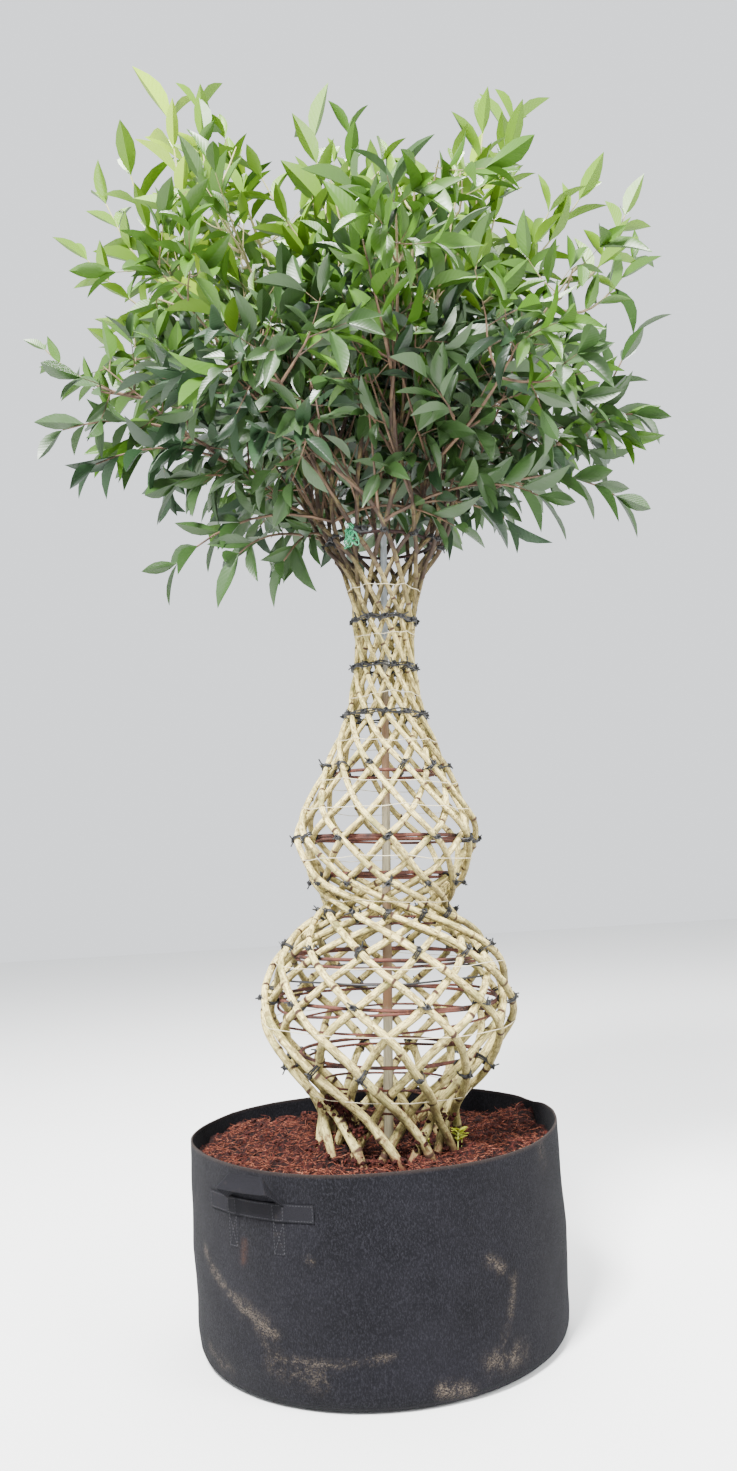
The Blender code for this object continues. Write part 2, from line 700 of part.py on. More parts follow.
class Mass:
    """One mass of foliage: a stem on from its bough, side twigs in pairs, and leaves in pairs."""

    def __init__(self, key, mass, crown, seed):
        self.key = key
        self.mass = mass
        self.crown = crown
        self.rng = random.Random(seed)
        self.pieces = []
        self.trees = list(crown.trees)

    def fits(self, points, near=0.0):
        return all(self.crown.holds(self.key, point, near) for point in points)

    def add_leaf(self, node, course, size=1.0):
        """Adds a leaf that starts behind the node, if its own space holds it."""
        course = (course - UP * self.mass["droop"]).normalized()
        length = LEAF_LENGTH * size
        face = (UP - course * UP.dot(course) + self.jitter(LEAF_ROLL)).normalized()
        frame = leaf_frame(node - course * LEAF_ROOT, course, face)
        half = LEAF_WIDTH * size / 2
        near, middle, tip = (frame @ Vector((0.0, length * t, 0.0)) for t in (CLEAR_FROM, LEAF_WIDEST, 1.0))
        left, right = (frame @ Vector((side * half, length * LEAF_WIDEST, 0.0)) for side in (-1.0, 1.0))
        blade = BVHTree.FromPolygons((near, left, tip, right), ((0, 1, 2), (0, 2, 3)))
        if self.fits((middle, middle.lerp(tip, 0.5), tip, left, right)) and not self.meets(blade):
            self.add_piece(leaf_piece(frame, size))
        elif size > SMALLEST_LEAF:
            self.add_leaf(node, course, size * LEAF_STEP)

    def meets(self, tree):
        """Whether a new leaf or twig would cut through a stem or a piece that is already there."""
        return any(tree.overlap(other) for other in self.trees)

    def add_piece(self, bm):
        """Keeps a piece for the union, and its faces for the tests of later ones."""
        self.pieces.append(bm)
        self.trees.append(BVHTree.FromBMesh(bm))

    def jitter(self, amount):
        """A small random vector."""
        return Vector([self.rng.uniform(-amount, amount) for _ in range(3)])

    def sideways(self, course, turn_deg):
        """A direction across the course, turned round it."""
        start = course.cross(ACROSS).normalized()
        return Matrix.Rotation(math.radians(turn_deg), 3, course) @ start

    def add_pair(self, node, course, turn_deg):
        """Two opposite leaves."""
        spread = math.radians(LEAF_DEG)
        for flip in (0.0, 180.0):
            side = self.sideways(course, turn_deg + flip)
            heading = course * math.cos(spread) + side * math.sin(spread) + self.jitter(LEAF_WANDER)
            self.add_leaf(node, heading.normalized())

    def add_tuft(self, node, course, turn_deg):
        """The end of a twig: a leaf straight on and a pair beside it."""
        self.add_leaf(node, (course + self.jitter(LEAF_WANDER)).normalized(), END_LEAF)
        self.add_pair(node - course * TUFT_STEP, course, turn_deg)

    def add_side_twig(self, node, course, turn_deg):
        """A twig with a tuft at its end, or only a leaf where the twig doesn't fit."""
        spread = math.radians(SIDE_TWIG_DEG)
        side = self.sideways(course, turn_deg)
        heading = (course * math.cos(spread) + side * math.sin(spread) + UP * SIDE_TWIG_LIFT).normalized()
        end = node + heading * SIDE_TWIG_LENGTH * self.rng.uniform(*SIDE_TWIG_SPREAD)
        near, middle = node.lerp(end, 1 / 3), node.lerp(end, 2 / 3)
        free = BVHTree.FromBMesh(twig_piece(near, end, SIDE_TWIG_RADIUS))
        if not self.fits((near, middle, end), SIDE_TWIG_RADIUS) or self.meets(free):
            self.add_leaf(node, heading)
            return
        self.add_piece(twig_piece(node - heading * TWIG_ROOT, end, SIDE_TWIG_RADIUS))
        self.add_tuft(end - heading * TUFT_ROOT, heading, self.rng.uniform(0.0, 180.0))

    def build(self, name):
        """Grows the mass along its stem and joins its pieces."""
        course = self.mass["course"]
        start = self.mass["tip"] + course * GAP
        end = self.mass["tip"] + course * self.mass["length"]
        self.add_piece(twig_piece(start, end, MASS_STEM_RADIUS))
        turn = self.rng.uniform(0.0, 90.0)
        joints = max(FEWEST_TWIG_PAIRS, round(self.mass["length"] / TWIG_SPACING))
        for joint in range(1, joints + 1):
            node = start.lerp(end, (joint - 1 + FIRST_TWIG) / joints)
            self.add_side_twig(node, course, turn)
            self.add_side_twig(node, course, turn + 180.0)
            turn += 90.0
        self.add_tuft(end - course * TUFT_ROOT, course, turn + 90.0)
        return union_mesh(name, self.pieces)


def clear_scene():
    for obj in list(bpy.data.objects):
        bpy.data.objects.remove(obj)


def build_all():
    clear_scene()
    plant = bpy.data.collections.new("potted_osmanthus")
    bpy.context.scene.collection.children.link(plant)
    felt = new_material("black_felt", (0.020, 0.021, 0.024), 0.95)
    webbing = new_material("black_webbing", (0.012, 0.012, 0.014), 0.7)
    coir = new_material("coco_peat", (0.13, 0.035, 0.016), 1.0)
    bark = new_material("pale_bark", (0.55, 0.49, 0.30), 0.8)
    steel = new_material("weathered_pole", (0.42, 0.38, 0.32), 0.6)
    rust = new_material("rusty_iron", (0.16, 0.055, 0.035), 0.85)
    leafy = new_material("osmanthus_leaf", (0.07, 0.17, 0.035), 0.45)

    turned("grow_bag", bag_profile(), plant, felt)
    turned("soil", soil_profile(), plant, coir)
    handle = handle_mesh()
    add_object("handle_front", handle, plant, webbing)
    add_object("handle_back", handle.copy(), plant, webbing).rotation_euler.z = math.pi

    trunk = bpy.data.objects.new("trunk_axis", None)
    plant.objects.link(trunk)
    trunk.matrix_world = lean_matrix()
    build_pole(plant, steel, trunk)
    for name, turn in RING_TURNS_DEG.items():
        build_ring(name, turn, plant, rust, trunk)

    plan = mass_plan(random.Random(CROWN_SEED))
    paths = {key: stem_path(*key, plan) for key in plan}
    stems = []
    for (inside, number), path in paths.items():
        side = "inner" if inside else "outer"
        stems.append(build_stem(f"stem_{side}_{number + 1:02d}", path, plant, bark, trunk))
    crown = Crown(plan, paths, stems)
    for seed, (key, mass) in enumerate(plan.items()):
        mesh = Mass(key, mass, crown, seed).build(mass["name"])
        add_object(mass["name"], mesh, plant, leafy, trunk)


build_all()
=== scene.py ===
"""Potted osmanthus with a woven gourd trunk: how it looks.

Twenty-four slim stems rise from a felt grow bag filled with coir. Twelve wind one way outside
and twelve the other way inside, tied where they cross over iron hoops, so that they make a
lattice with two bulbs and a neck. Above the top ring every stem runs on as a bough into a mass
of foliage. The sizes and the rule of growth are those of the solids. Units are metres, +Z is up
and the front of the plant faces -Y.
"""

import logging
import math
from collections.abc import Callable, Iterator, Sequence
from dataclasses import dataclass, field
from enum import Enum
from functools import partial
from random import Random

import bpy
import numpy as np
from mathutils import Matrix, Vector, noise

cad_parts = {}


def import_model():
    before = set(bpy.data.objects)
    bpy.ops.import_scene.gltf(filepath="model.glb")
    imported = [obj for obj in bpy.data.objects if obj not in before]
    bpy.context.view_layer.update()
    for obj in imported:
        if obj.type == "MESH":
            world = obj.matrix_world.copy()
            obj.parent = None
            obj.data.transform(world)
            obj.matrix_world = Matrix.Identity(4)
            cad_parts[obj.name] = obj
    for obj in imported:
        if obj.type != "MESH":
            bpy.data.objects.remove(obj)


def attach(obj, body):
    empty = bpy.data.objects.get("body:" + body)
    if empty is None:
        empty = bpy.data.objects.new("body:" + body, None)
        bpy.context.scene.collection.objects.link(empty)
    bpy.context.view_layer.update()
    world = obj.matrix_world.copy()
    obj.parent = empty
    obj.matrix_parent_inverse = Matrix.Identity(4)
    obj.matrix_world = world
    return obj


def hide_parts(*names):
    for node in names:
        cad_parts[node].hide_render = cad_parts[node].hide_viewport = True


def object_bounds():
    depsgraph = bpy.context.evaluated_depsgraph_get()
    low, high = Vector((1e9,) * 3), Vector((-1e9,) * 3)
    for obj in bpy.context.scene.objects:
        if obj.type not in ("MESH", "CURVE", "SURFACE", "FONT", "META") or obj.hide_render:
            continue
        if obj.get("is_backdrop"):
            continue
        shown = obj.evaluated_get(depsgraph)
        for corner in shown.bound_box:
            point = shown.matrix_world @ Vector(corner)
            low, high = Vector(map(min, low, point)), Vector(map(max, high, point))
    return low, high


LOG = logging.getLogger("potted_osmanthus")
BODY = "root"
TURN = 2.0 * math.pi
UP = Vector((0.0, 0.0, 1.0))

Array = np.ndarray
Values = np.ndarray | float
Piece = bpy.types.Object
Mesh = bpy.types.Mesh
Material = bpy.types.Material
Socket = bpy.types.NodeSocket
Pair = tuple[float, float]
Triple = tuple[float, float, float]
Four = tuple[float, float, float, float]
Color = Triple
Curve = tuple[Pair, ...]
Key = tuple[bool, int]
Places = tuple[Array, Array, Array]
Lay = Callable[[Array, Array], Places]


def smooth_value(points: Curve, at: Values) -> Array:
    """Reads a smooth curve through its points, with no overshoot between them.

    Args:
        points: (position, value) pairs in rising order.
        at: where the curve is read.

    Returns:
        The curve's values there.
    """
    x, y = np.array(points, float).T
    step = np.diff(y) / np.diff(x)
    product = step[:-1] * step[1:]
    total = np.where(product > 0.0, step[:-1] + step[1:], 1.0)
    slope = np.zeros(len(x))
    slope[1:-1] = np.where(product > 0.0, 2.0 * product / total, 0.0)
    slope[0], slope[-1] = slope[1], slope[-2]
    at = np.asarray(at, float)
    i = np.clip(np.searchsorted(x, at, side="right") - 1, 0, len(x) - 2)
    span = x[i + 1] - x[i]
    t = (at - x[i]) / span
    s0, s1, rise = slope[i] * span, slope[i + 1] * span, y[i + 1] - y[i]
    return y[i] + s0 * t + (3 * rise - 2 * s0 - s1) * t**2 + (s0 + s1 - 2 * rise) * t**3


def line_value(points: Curve, at: float) -> float:
    """Reads a line of straight runs through (position, value) points."""
    return float(np.interp(at, *zip(*points)))


def polar(radius: Values, degrees: Values, height: Values) -> Array:
    """Turns a radius, an azimuth and a height into points, one in each row."""
    angle = np.radians(degrees)
    return np.stack(np.broadcast_arrays(radius * np.cos(angle), radius * np.sin(angle), height), axis=-1)


def azimuths(points: Array) -> Array:
    """The azimuth of each point, in degrees."""
    return np.degrees(np.arctan2(points[:, 1], points[:, 0]))


def swung(degrees: Values) -> Values:
    """Takes angles to between -180 and 180 degrees."""
    return (degrees + 180.0) % 360.0 - 180.0


def bell(away: Values, wide: float) -> Values:
    """A smooth hump: one at zero, and next to nothing beyond twice its width."""
    return np.exp(-(away / wide) ** 2)


def unit(rows: Array) -> Array:
    """Scales each row to a length of one."""
    return rows / np.maximum(np.linalg.norm(rows, axis=-1, keepdims=True), 1e-12)


def rough(points: Array, scale: float, octaves: int = 3) -> Array:
    """Reads cloudy noise at each point.

    Args:
        points: one point in each row.
        scale: how many noise cells fit in a metre.
        octaves: how many finer layers are added.

    Returns:
        Values from about -1 to 1.
    """
    return np.array([noise.fractal(Vector(p) * scale, 1.0, 2.0, octaves) for p in points])


def frames_along(path: Array, closed: bool) -> tuple[Array, Array]:
    """Two directions across a path at each of its points, carried along it without twisting.

    Args:
        path: the points of the path.
        closed: whether the last point joins the first.

    Returns:
        The two sets of directions.
    """
    if closed:
        tangents = unit(np.roll(path, -1, axis=0) - np.roll(path, 1, axis=0))
    else:
        tangents = unit(np.gradient(path, axis=0))
    axis = np.eye(3)[np.argmin(np.abs(tangents[0]))]
    across = np.empty_like(path)
    side = axis
    for i, tangent in enumerate(tangents):
        side = side - tangent * side.dot(tangent)
        side = side / np.linalg.norm(side)
        across[i] = side
    return across, np.cross(tangents, across)


@dataclass
class Heap:
    """Shapes gathered to become one mesh."""

    points: list[Array] = field(default_factory=list)
    faces: list[Array] = field(default_factory=list)
    finishes: list[Array] = field(default_factory=list)
    marks: dict[str, list[Array]] = field(default_factory=dict)
    count: int = 0

    def add(self, points: Array, faces: Sequence[Array], finish: int = 0, **marks: Array) -> None:
        """Adds a shape.

        Args:
            points: its points.
            faces: blocks of faces, each block with the same number of corners.
            finish: the number of the material that the faces take.
            marks: named values of the points.
        """
        for block in faces:
            self.faces.append(block + self.count)
            self.finishes.append(np.full(len(block), finish))
        self.points.append(points)
        self.count += len(points)
        for name, values in marks.items():
            self.marks.setdefault(name, []).append(values)

    def add_tube(self, path: Array, radii: Values, sides: int, closed: bool = False) -> None:
        """Adds a round tube along a path."""
        points, faces = tube(path, np.broadcast_to(radii, len(path)), sides, closed)
        self.add(points, faces)

    def mesh(self, name: str, smooth_deg: float = 60.0) -> Mesh:
        """Makes the mesh.

        Args:
            name: the mesh's name.
            smooth_deg: edges sharper than this stay sharp.

        Returns:
            The new mesh.
        """
        made = bpy.data.meshes.new(name)
        corners = np.concatenate([block.ravel() for block in self.faces])
        sizes = np.concatenate([np.full(len(block), block.shape[1]) for block in self.faces])
        made.vertices.add(self.count)
        made.vertices.foreach_set("co", np.concatenate(self.points).ravel().astype(np.float32))
        made.loops.add(len(corners))
        made.loops.foreach_set("vertex_index", corners.astype(np.int32))
        made.polygons.add(len(sizes))
        starts = np.concatenate([[0], np.cumsum(sizes)[:-1]])
        made.polygons.foreach_set("loop_start", starts.astype(np.int32))
        made.polygons.foreach_set("material_index", np.concatenate(self.finishes).astype(np.int32))
        made.update(calc_edges=True)
        made.validate()
        for mark, values in self.marks.items():
            add_mark(made, mark, np.concatenate(values))
        smooth_but(made, smooth_deg)
        return made


def add_mark(mesh: Mesh, name: str, values: Array) -> None:
    """Keeps a value, or a row of three, for each point of a mesh under a name."""
    kind, slot = ("FLOAT", "value") if values.ndim == 1 else ("FLOAT_VECTOR", "vector")
    mesh.attributes.new(name, kind, "POINT").data.foreach_set(slot, values.ravel().astype(np.float32))


def tube(
    path: Array, radii: Array, sides: int, closed: bool = False, swell: Array | None = None
) -> tuple[Array, list[Array]]:
    """A round tube along a path, with its ends closed.

    Args:
        path: the points of its middle line.
        radii: its radius at each point.
        sides: how many sides it has.
        closed: whether it joins up with itself.
        swell: a factor on the radius for each ring and side.

    Returns:
        Its points, ring by ring, and its blocks of faces.
    """
    rings = len(path)
    across, upward = frames_along(path, closed)
    angles = TURN * np.arange(sides) / sides
    reach = np.repeat(radii[:, None], sides, axis=1) * (1.0 if swell is None else swell)
    ring = across[:, None] * np.cos(angles)[:, None] + upward[:, None] * np.sin(angles)[:, None]
    points = (path[:, None] + ring * reach[..., None]).reshape(-1, 3)
    i, j = np.meshgrid(np.arange(rings if closed else rings - 1), np.arange(sides), indexing="ij")
    here, there, side = i * sides, (i + 1) % rings * sides, (j + 1) % sides
    walls = np.stack([here + j, here + side, there + side, there + j], axis=-1).reshape(-1, 4)
    if closed:
        return points, [walls]
    around, after = np.arange(sides), (np.arange(sides) + 1) % sides
    first, last, top = len(points), len(points) + 1, (rings - 1) * sides
    caps = np.concatenate([
        np.stack([np.full(sides, first), after, around], axis=-1),
        np.stack([np.full(sides, last), top + around, top + after], axis=-1),
    ])
    return np.concatenate([points, path[:1], path[-1:]]), [walls, caps]


class Workbench:
    """Lays out a material's nodes and feeds its shader."""

    def __init__(self, name: str, roughness: float, specular: float = 0.5) -> None:
        """Starts a material with an even roughness and gloss.

        Args:
            name: the material's name.
            roughness: its roughness.
            specular: the strength of its gloss.
        """
        self.material = bpy.data.materials.new(name)
        self.material.use_nodes = True
        self.tree = self.material.node_tree
        self.shader = self.tree.nodes["Principled BSDF"]
        self.shader.inputs["Roughness"].default_value = roughness
        self.shader.inputs["Specular IOR Level"].default_value = specular

    def node(self, kind: str, inputs: dict[str | int, object], **settings: object) -> bpy.types.Node:
        """Adds a node.

        Args:
            kind: the node's type.
            inputs: a value or another node's output for each input named.
            settings: the node's own settings.

        Returns:
            The new node.
        """
        made = self.tree.nodes.new(kind)
        for name, value in settings.items():
            setattr(made, name, value)
        for name, value in inputs.items():
            if isinstance(value, Socket):
                self.tree.links.new(value, made.inputs[name])
            else:
                made.inputs[name].default_value = value
        return made

    def place(self, rise: float = 1.0, mark: str = "") -> Socket:
        """The point's place on the object, or in a mark of the mesh, stretched in height.

        Args:
            rise: how far it is stretched in height.
            mark: the mark, or nothing for the object's own place.

        Returns:
            The place.
        """
        if mark:
            source = self.node("ShaderNodeAttribute", {}, attribute_name=mark).outputs["Vector"]
        else:
            source = self.node("ShaderNodeTexCoord", {}).outputs["Object"]
        return self.node("ShaderNodeMapping", {"Vector": source, "Scale": (1.0, 1.0, rise)}).outputs["Vector"]

    def height(self) -> Socket:
        """The point's height."""
        return self.node("ShaderNodeSeparateXYZ", {"Vector": self.place()}).outputs["Z"]

    def mark(self, name: str) -> Socket:
        """A named value of the mesh."""
        return self.node("ShaderNodeAttribute", {}, attribute_name=name).outputs["Fac"]

    def cloud(
        self, scale: float, detail: float = 4.0, harsh: float = 0.55, rise: float = 1.0, mark: str = ""
    ) -> Socket:
        """Cloudy noise from 0 to 1.

        Args:
            scale: how many of its cells fit in a metre.
            detail: how many finer layers it has.
            harsh: how strong the finer layers are.
            rise: how far its place is stretched in height.
            mark: the mark of the mesh that it follows, or nothing for the object's own place.

        Returns:
            The noise.
        """
        inputs = {"Vector": self.place(rise, mark), "Scale": scale, "Detail": detail, "Roughness": harsh}
        return self.node("ShaderNodeTexNoise", inputs).outputs["Fac"]

    def cells(self, scale: float, rise: float = 1.0) -> Socket:
        """The distance to the nearest of many scattered points."""
        inputs = {"Vector": self.place(rise), "Scale": scale}
        return self.node("ShaderNodeTexVoronoi", inputs).outputs["Distance"]

    def stripes(self, mark: str, scale: float, axis: str) -> Socket:
        """Even stripes across an axis of a mark."""
        inputs = {"Vector": self.place(mark=mark), "Scale": scale}
        return self.node("ShaderNodeTexWave", inputs, bands_direction=axis).outputs["Fac"]

    def stretch(self, value: Socket, low: float, high: float, to: Pair = (0.0, 1.0)) -> Socket:
        """Stretches a value's range onto another, cut off at its ends."""
        inputs = {"Value": value, "From Min": low, "From Max": high, "To Min": to[0], "To Max": to[1]}
        return self.node("ShaderNodeMapRange", inputs).outputs["Result"]

    def math(self, operation: str, *values: Socket | float) -> Socket:
        """Works out one number from others."""
        return self.node("ShaderNodeMath", dict(enumerate(values)), operation=operation).outputs[0]

    def times(self, one: Socket, other: Socket | float) -> Socket:
        """The product of two values."""
        return self.math("MULTIPLY", one, other)

    def plus(self, one: Socket, other: Socket | float) -> Socket:
        """The sum of two values."""
        return self.math("ADD", one, other)

    def blend(self, share: Socket, one: Socket | Color, other: Socket | Color) -> Socket:
        """Goes from one color to another by a share from 0 to 1."""
        colors = [(*value, 1.0) if isinstance(value, tuple) else value for value in (one, other)]
        return self.node("ShaderNodeMix", {0: share, 6: colors[0], 7: colors[1]}, data_type="RGBA").outputs[2]

    def coat(
        self, under: Socket | Color, over: Color, value: Socket, low: float, high: float, most: float = 1.0
    ) -> Socket:
        """Lays a color over another, the more so as a value goes from low to high."""
        return self.blend(self.stretch(value, low, high, (0.0, most)), under, over)

    def layered(self, color: Socket | Color, *coats: tuple[Socket, Color]) -> Socket:
        """Lays colors one over another, each by its own share from 0 to 1.

        Args:
            color: the lowest color.
            coats: a share and a color for each coat.

        Returns:
            The color that shows.
        """
        for share, over in coats:
            color = self.blend(share, color, over)
        return color

    def paint(self, color: Socket | Color) -> None:
        """Sets the shader's color.

        Args:
            color: a plain color, or the output of a node.
        """
        if isinstance(color, tuple):
            self.shader.inputs["Base Color"].default_value = (*color, 1.0)
        else:
            self.tree.links.new(color, self.shader.inputs["Base Color"])

    def dull(self, value: Socket, low: float, high: float) -> None:
        """Makes the roughness follow a value, between two limits."""
        self.tree.links.new(self.stretch(value, 0.0, 1.0, (low, high)), self.shader.inputs["Roughness"])

    def emboss(self, height: Socket, distance: float) -> None:
        """Raises the surface by a height, with its full rise given in metres."""
        bump = self.node("ShaderNodeBump", {"Height": height, "Distance": distance})
        self.tree.links.new(bump.outputs["Normal"], self.shader.inputs["Normal"])


@dataclass(frozen=True)
class FeltFinish:
    """Needled black felt, dusty and rubbed with dried coir where it was handled."""

    name: str = "black_needled_felt"
    slot: str = "black_felt"
    dark: Color = (0.0016, 0.0016, 0.0025)
    light: Color = (0.0044, 0.0043, 0.0061)
    hatch: Color = (0.0175, 0.0170, 0.0215)
    dust: Color = (0.120, 0.095, 0.070)
    rubbed_edge: Color = (0.035, 0.024, 0.019)
    rust: Color = (0.030, 0.0145, 0.0100)

    def material(self) -> Material:
        """Makes the material, which reads the marks dust, hem and stain.

        Returns:
            The new material.
        """
        bench = Workbench(self.name, 0.95, 0.07)
        bench.shader.inputs["Sheen Weight"].default_value = 0.02
        bench.shader.inputs["Sheen Roughness"].default_value = 0.6
        hatch, scratches = bench.cloud(400.0, 4.0, 0.75, 0.45), bench.cloud(230.0, 8.0, 0.9, 1.6)
        blots = bench.stretch(bench.cloud(34.0, 6.0, 0.75), 0.44, 0.52)
        patchy = bench.times(bench.stretch(scratches, 0.50, 0.545), blots)
        dust, hem, stain = bench.mark("dust"), bench.mark("hem"), bench.mark("stain")
        color = bench.coat(self.dark, self.light, bench.cloud(7.0, 5.0, 0.6), 0.35, 0.68)
        color = bench.coat(color, self.hatch, hatch, 0.47, 0.68, 0.75)
        bench.paint(bench.layered(
            color,
            (bench.times(dust, bench.times(patchy, 0.85)), self.dust),
            (bench.times(dust, 0.03), self.dust),
            (bench.times(hem, 0.5), self.rubbed_edge),
            (bench.times(stain, bench.stretch(scratches, 0.4, 0.6)), self.rust),
        ))
        bench.emboss(bench.plus(hatch, bench.times(bench.cells(900.0, 0.5), 0.5)), 0.0016)
        return bench.material


@dataclass(frozen=True)
class WebbingFinish:
    """Black ribbed webbing."""

    name: str = "black_ribbed_webbing"
    slot: str = "black_webbing"
    dark: Color = (0.0026, 0.0026, 0.0036)
    light: Color = (0.0300, 0.0290, 0.0360)
    dirt: Color = (0.05, 0.038, 0.030)
    rib_scale: float = 190.0

    def material(self) -> Material:
        """Makes the material, which reads the mark weave: metres along and across the webbing.

        Returns:
            The new material.
        """
        bench = Workbench(self.name, 0.85, 0.10)
        ribs = bench.stripes("weave", self.rib_scale, "X")
        picks = bench.stripes("weave", self.rib_scale * 1.7, "Y")
        color = bench.coat(self.dark, self.light, bench.times(ribs, picks), 0.1, 0.8)
        bench.paint(bench.coat(color, self.dirt, bench.cloud(60.0), 0.58, 0.8, 0.3))
        bench.emboss(bench.plus(ribs, bench.times(picks, 0.4)), 0.0009)
        return bench.material


@dataclass(frozen=True)
class SpunFinish:
    """Thread, twine or wire: an even color with the lay of its strands."""

    name: str
    slot: str
    color: Color
    shade: Color
    roughness: float
    grain: float = 700.0

    def material(self) -> Material:
        """Makes the material.

        Returns:
            The new material.
        """
        bench = Workbench(self.name, self.roughness)
        grain = bench.cloud(self.grain, 3.0)
        bench.paint(bench.coat(self.shade, self.color, grain, 0.3, 0.7))
        bench.emboss(grain, 0.0004)
        return bench.material


@dataclass(frozen=True)
class CoirFinish:
    """Moist red-brown coir, fibrous and crumbly, with painted shade that darkens the pits between its clumps.
    """

    name: str
    slot: str = "coco_peat"
    dark: Color = (0.0016, 0.0004, 0.0004)
    middle: Color = (0.017, 0.0029, 0.0021)
    light: Color = (0.100, 0.020, 0.0130)

    def material(self) -> Material:
        """Makes the material.

        Returns:
            The new material.
        """
        bench = Workbench(self.name, 0.95, 0.2)
        crumbs = bench.cloud(120.0, 6.0, 0.7)
        patches = bench.stretch(bench.cloud(14.0), 0.3, 0.65, (0.35, 1.0))
        color = bench.coat(self.dark, self.middle, crumbs, 0.34, 0.56)
        color = bench.blend(bench.times(bench.stretch(crumbs, 0.50, 0.68), patches), color, self.light)
        # Painted shade: the pits between the clumps are darkened nearly to black.
        bench.paint(bench.blend(bench.mark("painted_pit_shade"), color, self.dark))
        bench.emboss(bench.plus(crumbs, bench.times(bench.cells(260.0), 0.6)), 0.004)
        return bench.material


@dataclass(frozen=True)
class BarkFinish:
    """Pale straw bark: brown scars at its nodes, olive patches, dusty foot, brown boughs, and painted shade
    on the undersides of the stems.
    """

    name: str = "pale_osmanthus_bark"
    slot: str = "pale_bark"
    straw: Color = (0.280, 0.200, 0.058)
    cream: Color = (0.90, 0.765, 0.310)
    olive: Color = (0.180, 0.180, 0.050)
    scar: Color = (0.034, 0.014, 0.007)
    foot: Color = (0.300, 0.275, 0.115)
    bough: Color = (0.034, 0.021, 0.014)
    dust: Color = (0.080, 0.023, 0.012)
    painted_underside_shade: Color = (0.062, 0.047, 0.015)
    blotch: Color = (0.150, 0.108, 0.034)

    def material(self) -> Material:
        """Makes the material, which reads the marks scar, grain and under; from under it paints shade on the
        stems' undersides.

        Returns:
            The new material.
        """
        bench = Workbench(self.name, 0.78, 0.3)
        grain = partial(bench.cloud, mark="grain")
        streaks, patches = grain(420.0, 4.0, 0.65, 0.12), grain(26.0, 4.0, 0.6, 0.5)
        smears, height = grain(60.0, 5.0, 0.7, 0.5), bench.height()
        brown = bench.plus(bench.stretch(height, 1.50, 1.75), bench.stretch(patches, 0.4, 0.7, (-0.20, 0.30)))
        dusty = bench.times(bench.stretch(height, 0.58, 0.39, (0.0, 0.9)), bench.stretch(smears, 0.50, 0.60))
        buried = bench.plus(height, bench.times(smears, 0.08))
        scarred = bench.plus(bench.mark("scar"), bench.times(streaks, 0.35))
        bench.paint(bench.layered(
            self.straw,
            (bench.stretch(streaks, 0.36, 0.62), self.cream),
            (bench.stretch(patches, 0.50, 0.66, (0.0, 0.80)), self.olive),
            (bench.stretch(grain(95.0, 4.0, 0.7, 0.6), 0.52, 0.60, (0.0, 0.80)), self.blotch),
            # Painted shade: the sides of the stems that face down are darkened.
            (bench.stretch(bench.mark("under"), -0.15, 0.80, (0.0, 0.80)), self.painted_underside_shade),
            (bench.stretch(height, 0.70, 0.40, (0.0, 0.40)), self.foot),
            (bench.stretch(brown, 0.1, 1.0), self.bough),
            (bench.stretch(grain(170.0, 3.0, 0.7, 0.7), 0.57, 0.65, (0.0, 0.8)), self.scar),
            (dusty, self.dust),
            (bench.stretch(buried, 0.462, 0.418), self.dust),
            (bench.stretch(scarred, 0.30, 0.62), self.scar),
        ))
        bench.dull(streaks, 0.62, 0.9)
        bench.emboss(bench.plus(streaks, bench.times(patches, 0.6)), 0.0020)
        return bench.material


@dataclass(frozen=True)
class PoleFinish:
    """A weathered pole: pale grey, silvery in the neck, with stained brown stretches."""

    name: str = "weathered_grey_pole"
    slot: str = "weathered_pole"
    grey: Color = (0.110, 0.094, 0.056)
    pale: Color = (0.26, 0.228, 0.145)
    silver: Color = (0.25, 0.27, 0.28)
    stained: Color = (0.100, 0.048, 0.018)
    silver_from: float = 1.46
    stains: Curve = ((1.14, 1.44), (0.66, 1.00))

    def material(self) -> Material:
        """Makes the material.

        Returns:
            The new material.
        """
        bench = Workbench(self.name, 0.6, 0.4)
        height, streaks = bench.height(), bench.cloud(260.0, 5.0, 0.65, 0.06)
        blots = bench.stretch(bench.cloud(40.0, rise=0.35), 0.3, 0.55, (0.45, 1.0))
        color = bench.coat(self.grey, self.pale, streaks, 0.3, 0.7)
        color = bench.coat(color, self.silver, height, self.silver_from, self.silver_from + 0.08)
        for low, high in self.stains:
            above, below = bench.stretch(height, low, low + 0.04), bench.stretch(height, high, high - 0.06)
            color = bench.blend(bench.times(bench.times(above, below), blots), color, self.stained)
        bench.paint(color)
        bench.dull(streaks, 0.45, 0.75)
        bench.emboss(streaks, 0.0008)
        return bench.material


@dataclass(frozen=True)
class RustFinish:
    """Iron rod gone dark red-brown with rust."""

    name: str = "rusted_rod"
    slot: str = "rusty_iron"
    dark: Color = (0.018, 0.0080, 0.0068)
    red: Color = (0.092, 0.030, 0.020)
    orange: Color = (0.22, 0.085, 0.045)

    def material(self) -> Material:
        """Makes the material.

        Returns:
            The new material.
        """
        bench = Workbench(self.name, 0.82, 0.3)
        flakes = bench.cloud(160.0, 5.0, 0.7)
        color = bench.coat(self.dark, self.red, bench.cloud(18.0), 0.35, 0.62)
        bench.paint(bench.coat(color, self.orange, flakes, 0.55, 0.72, 0.8))
        bench.emboss(flakes, 0.0012)
        return bench.material


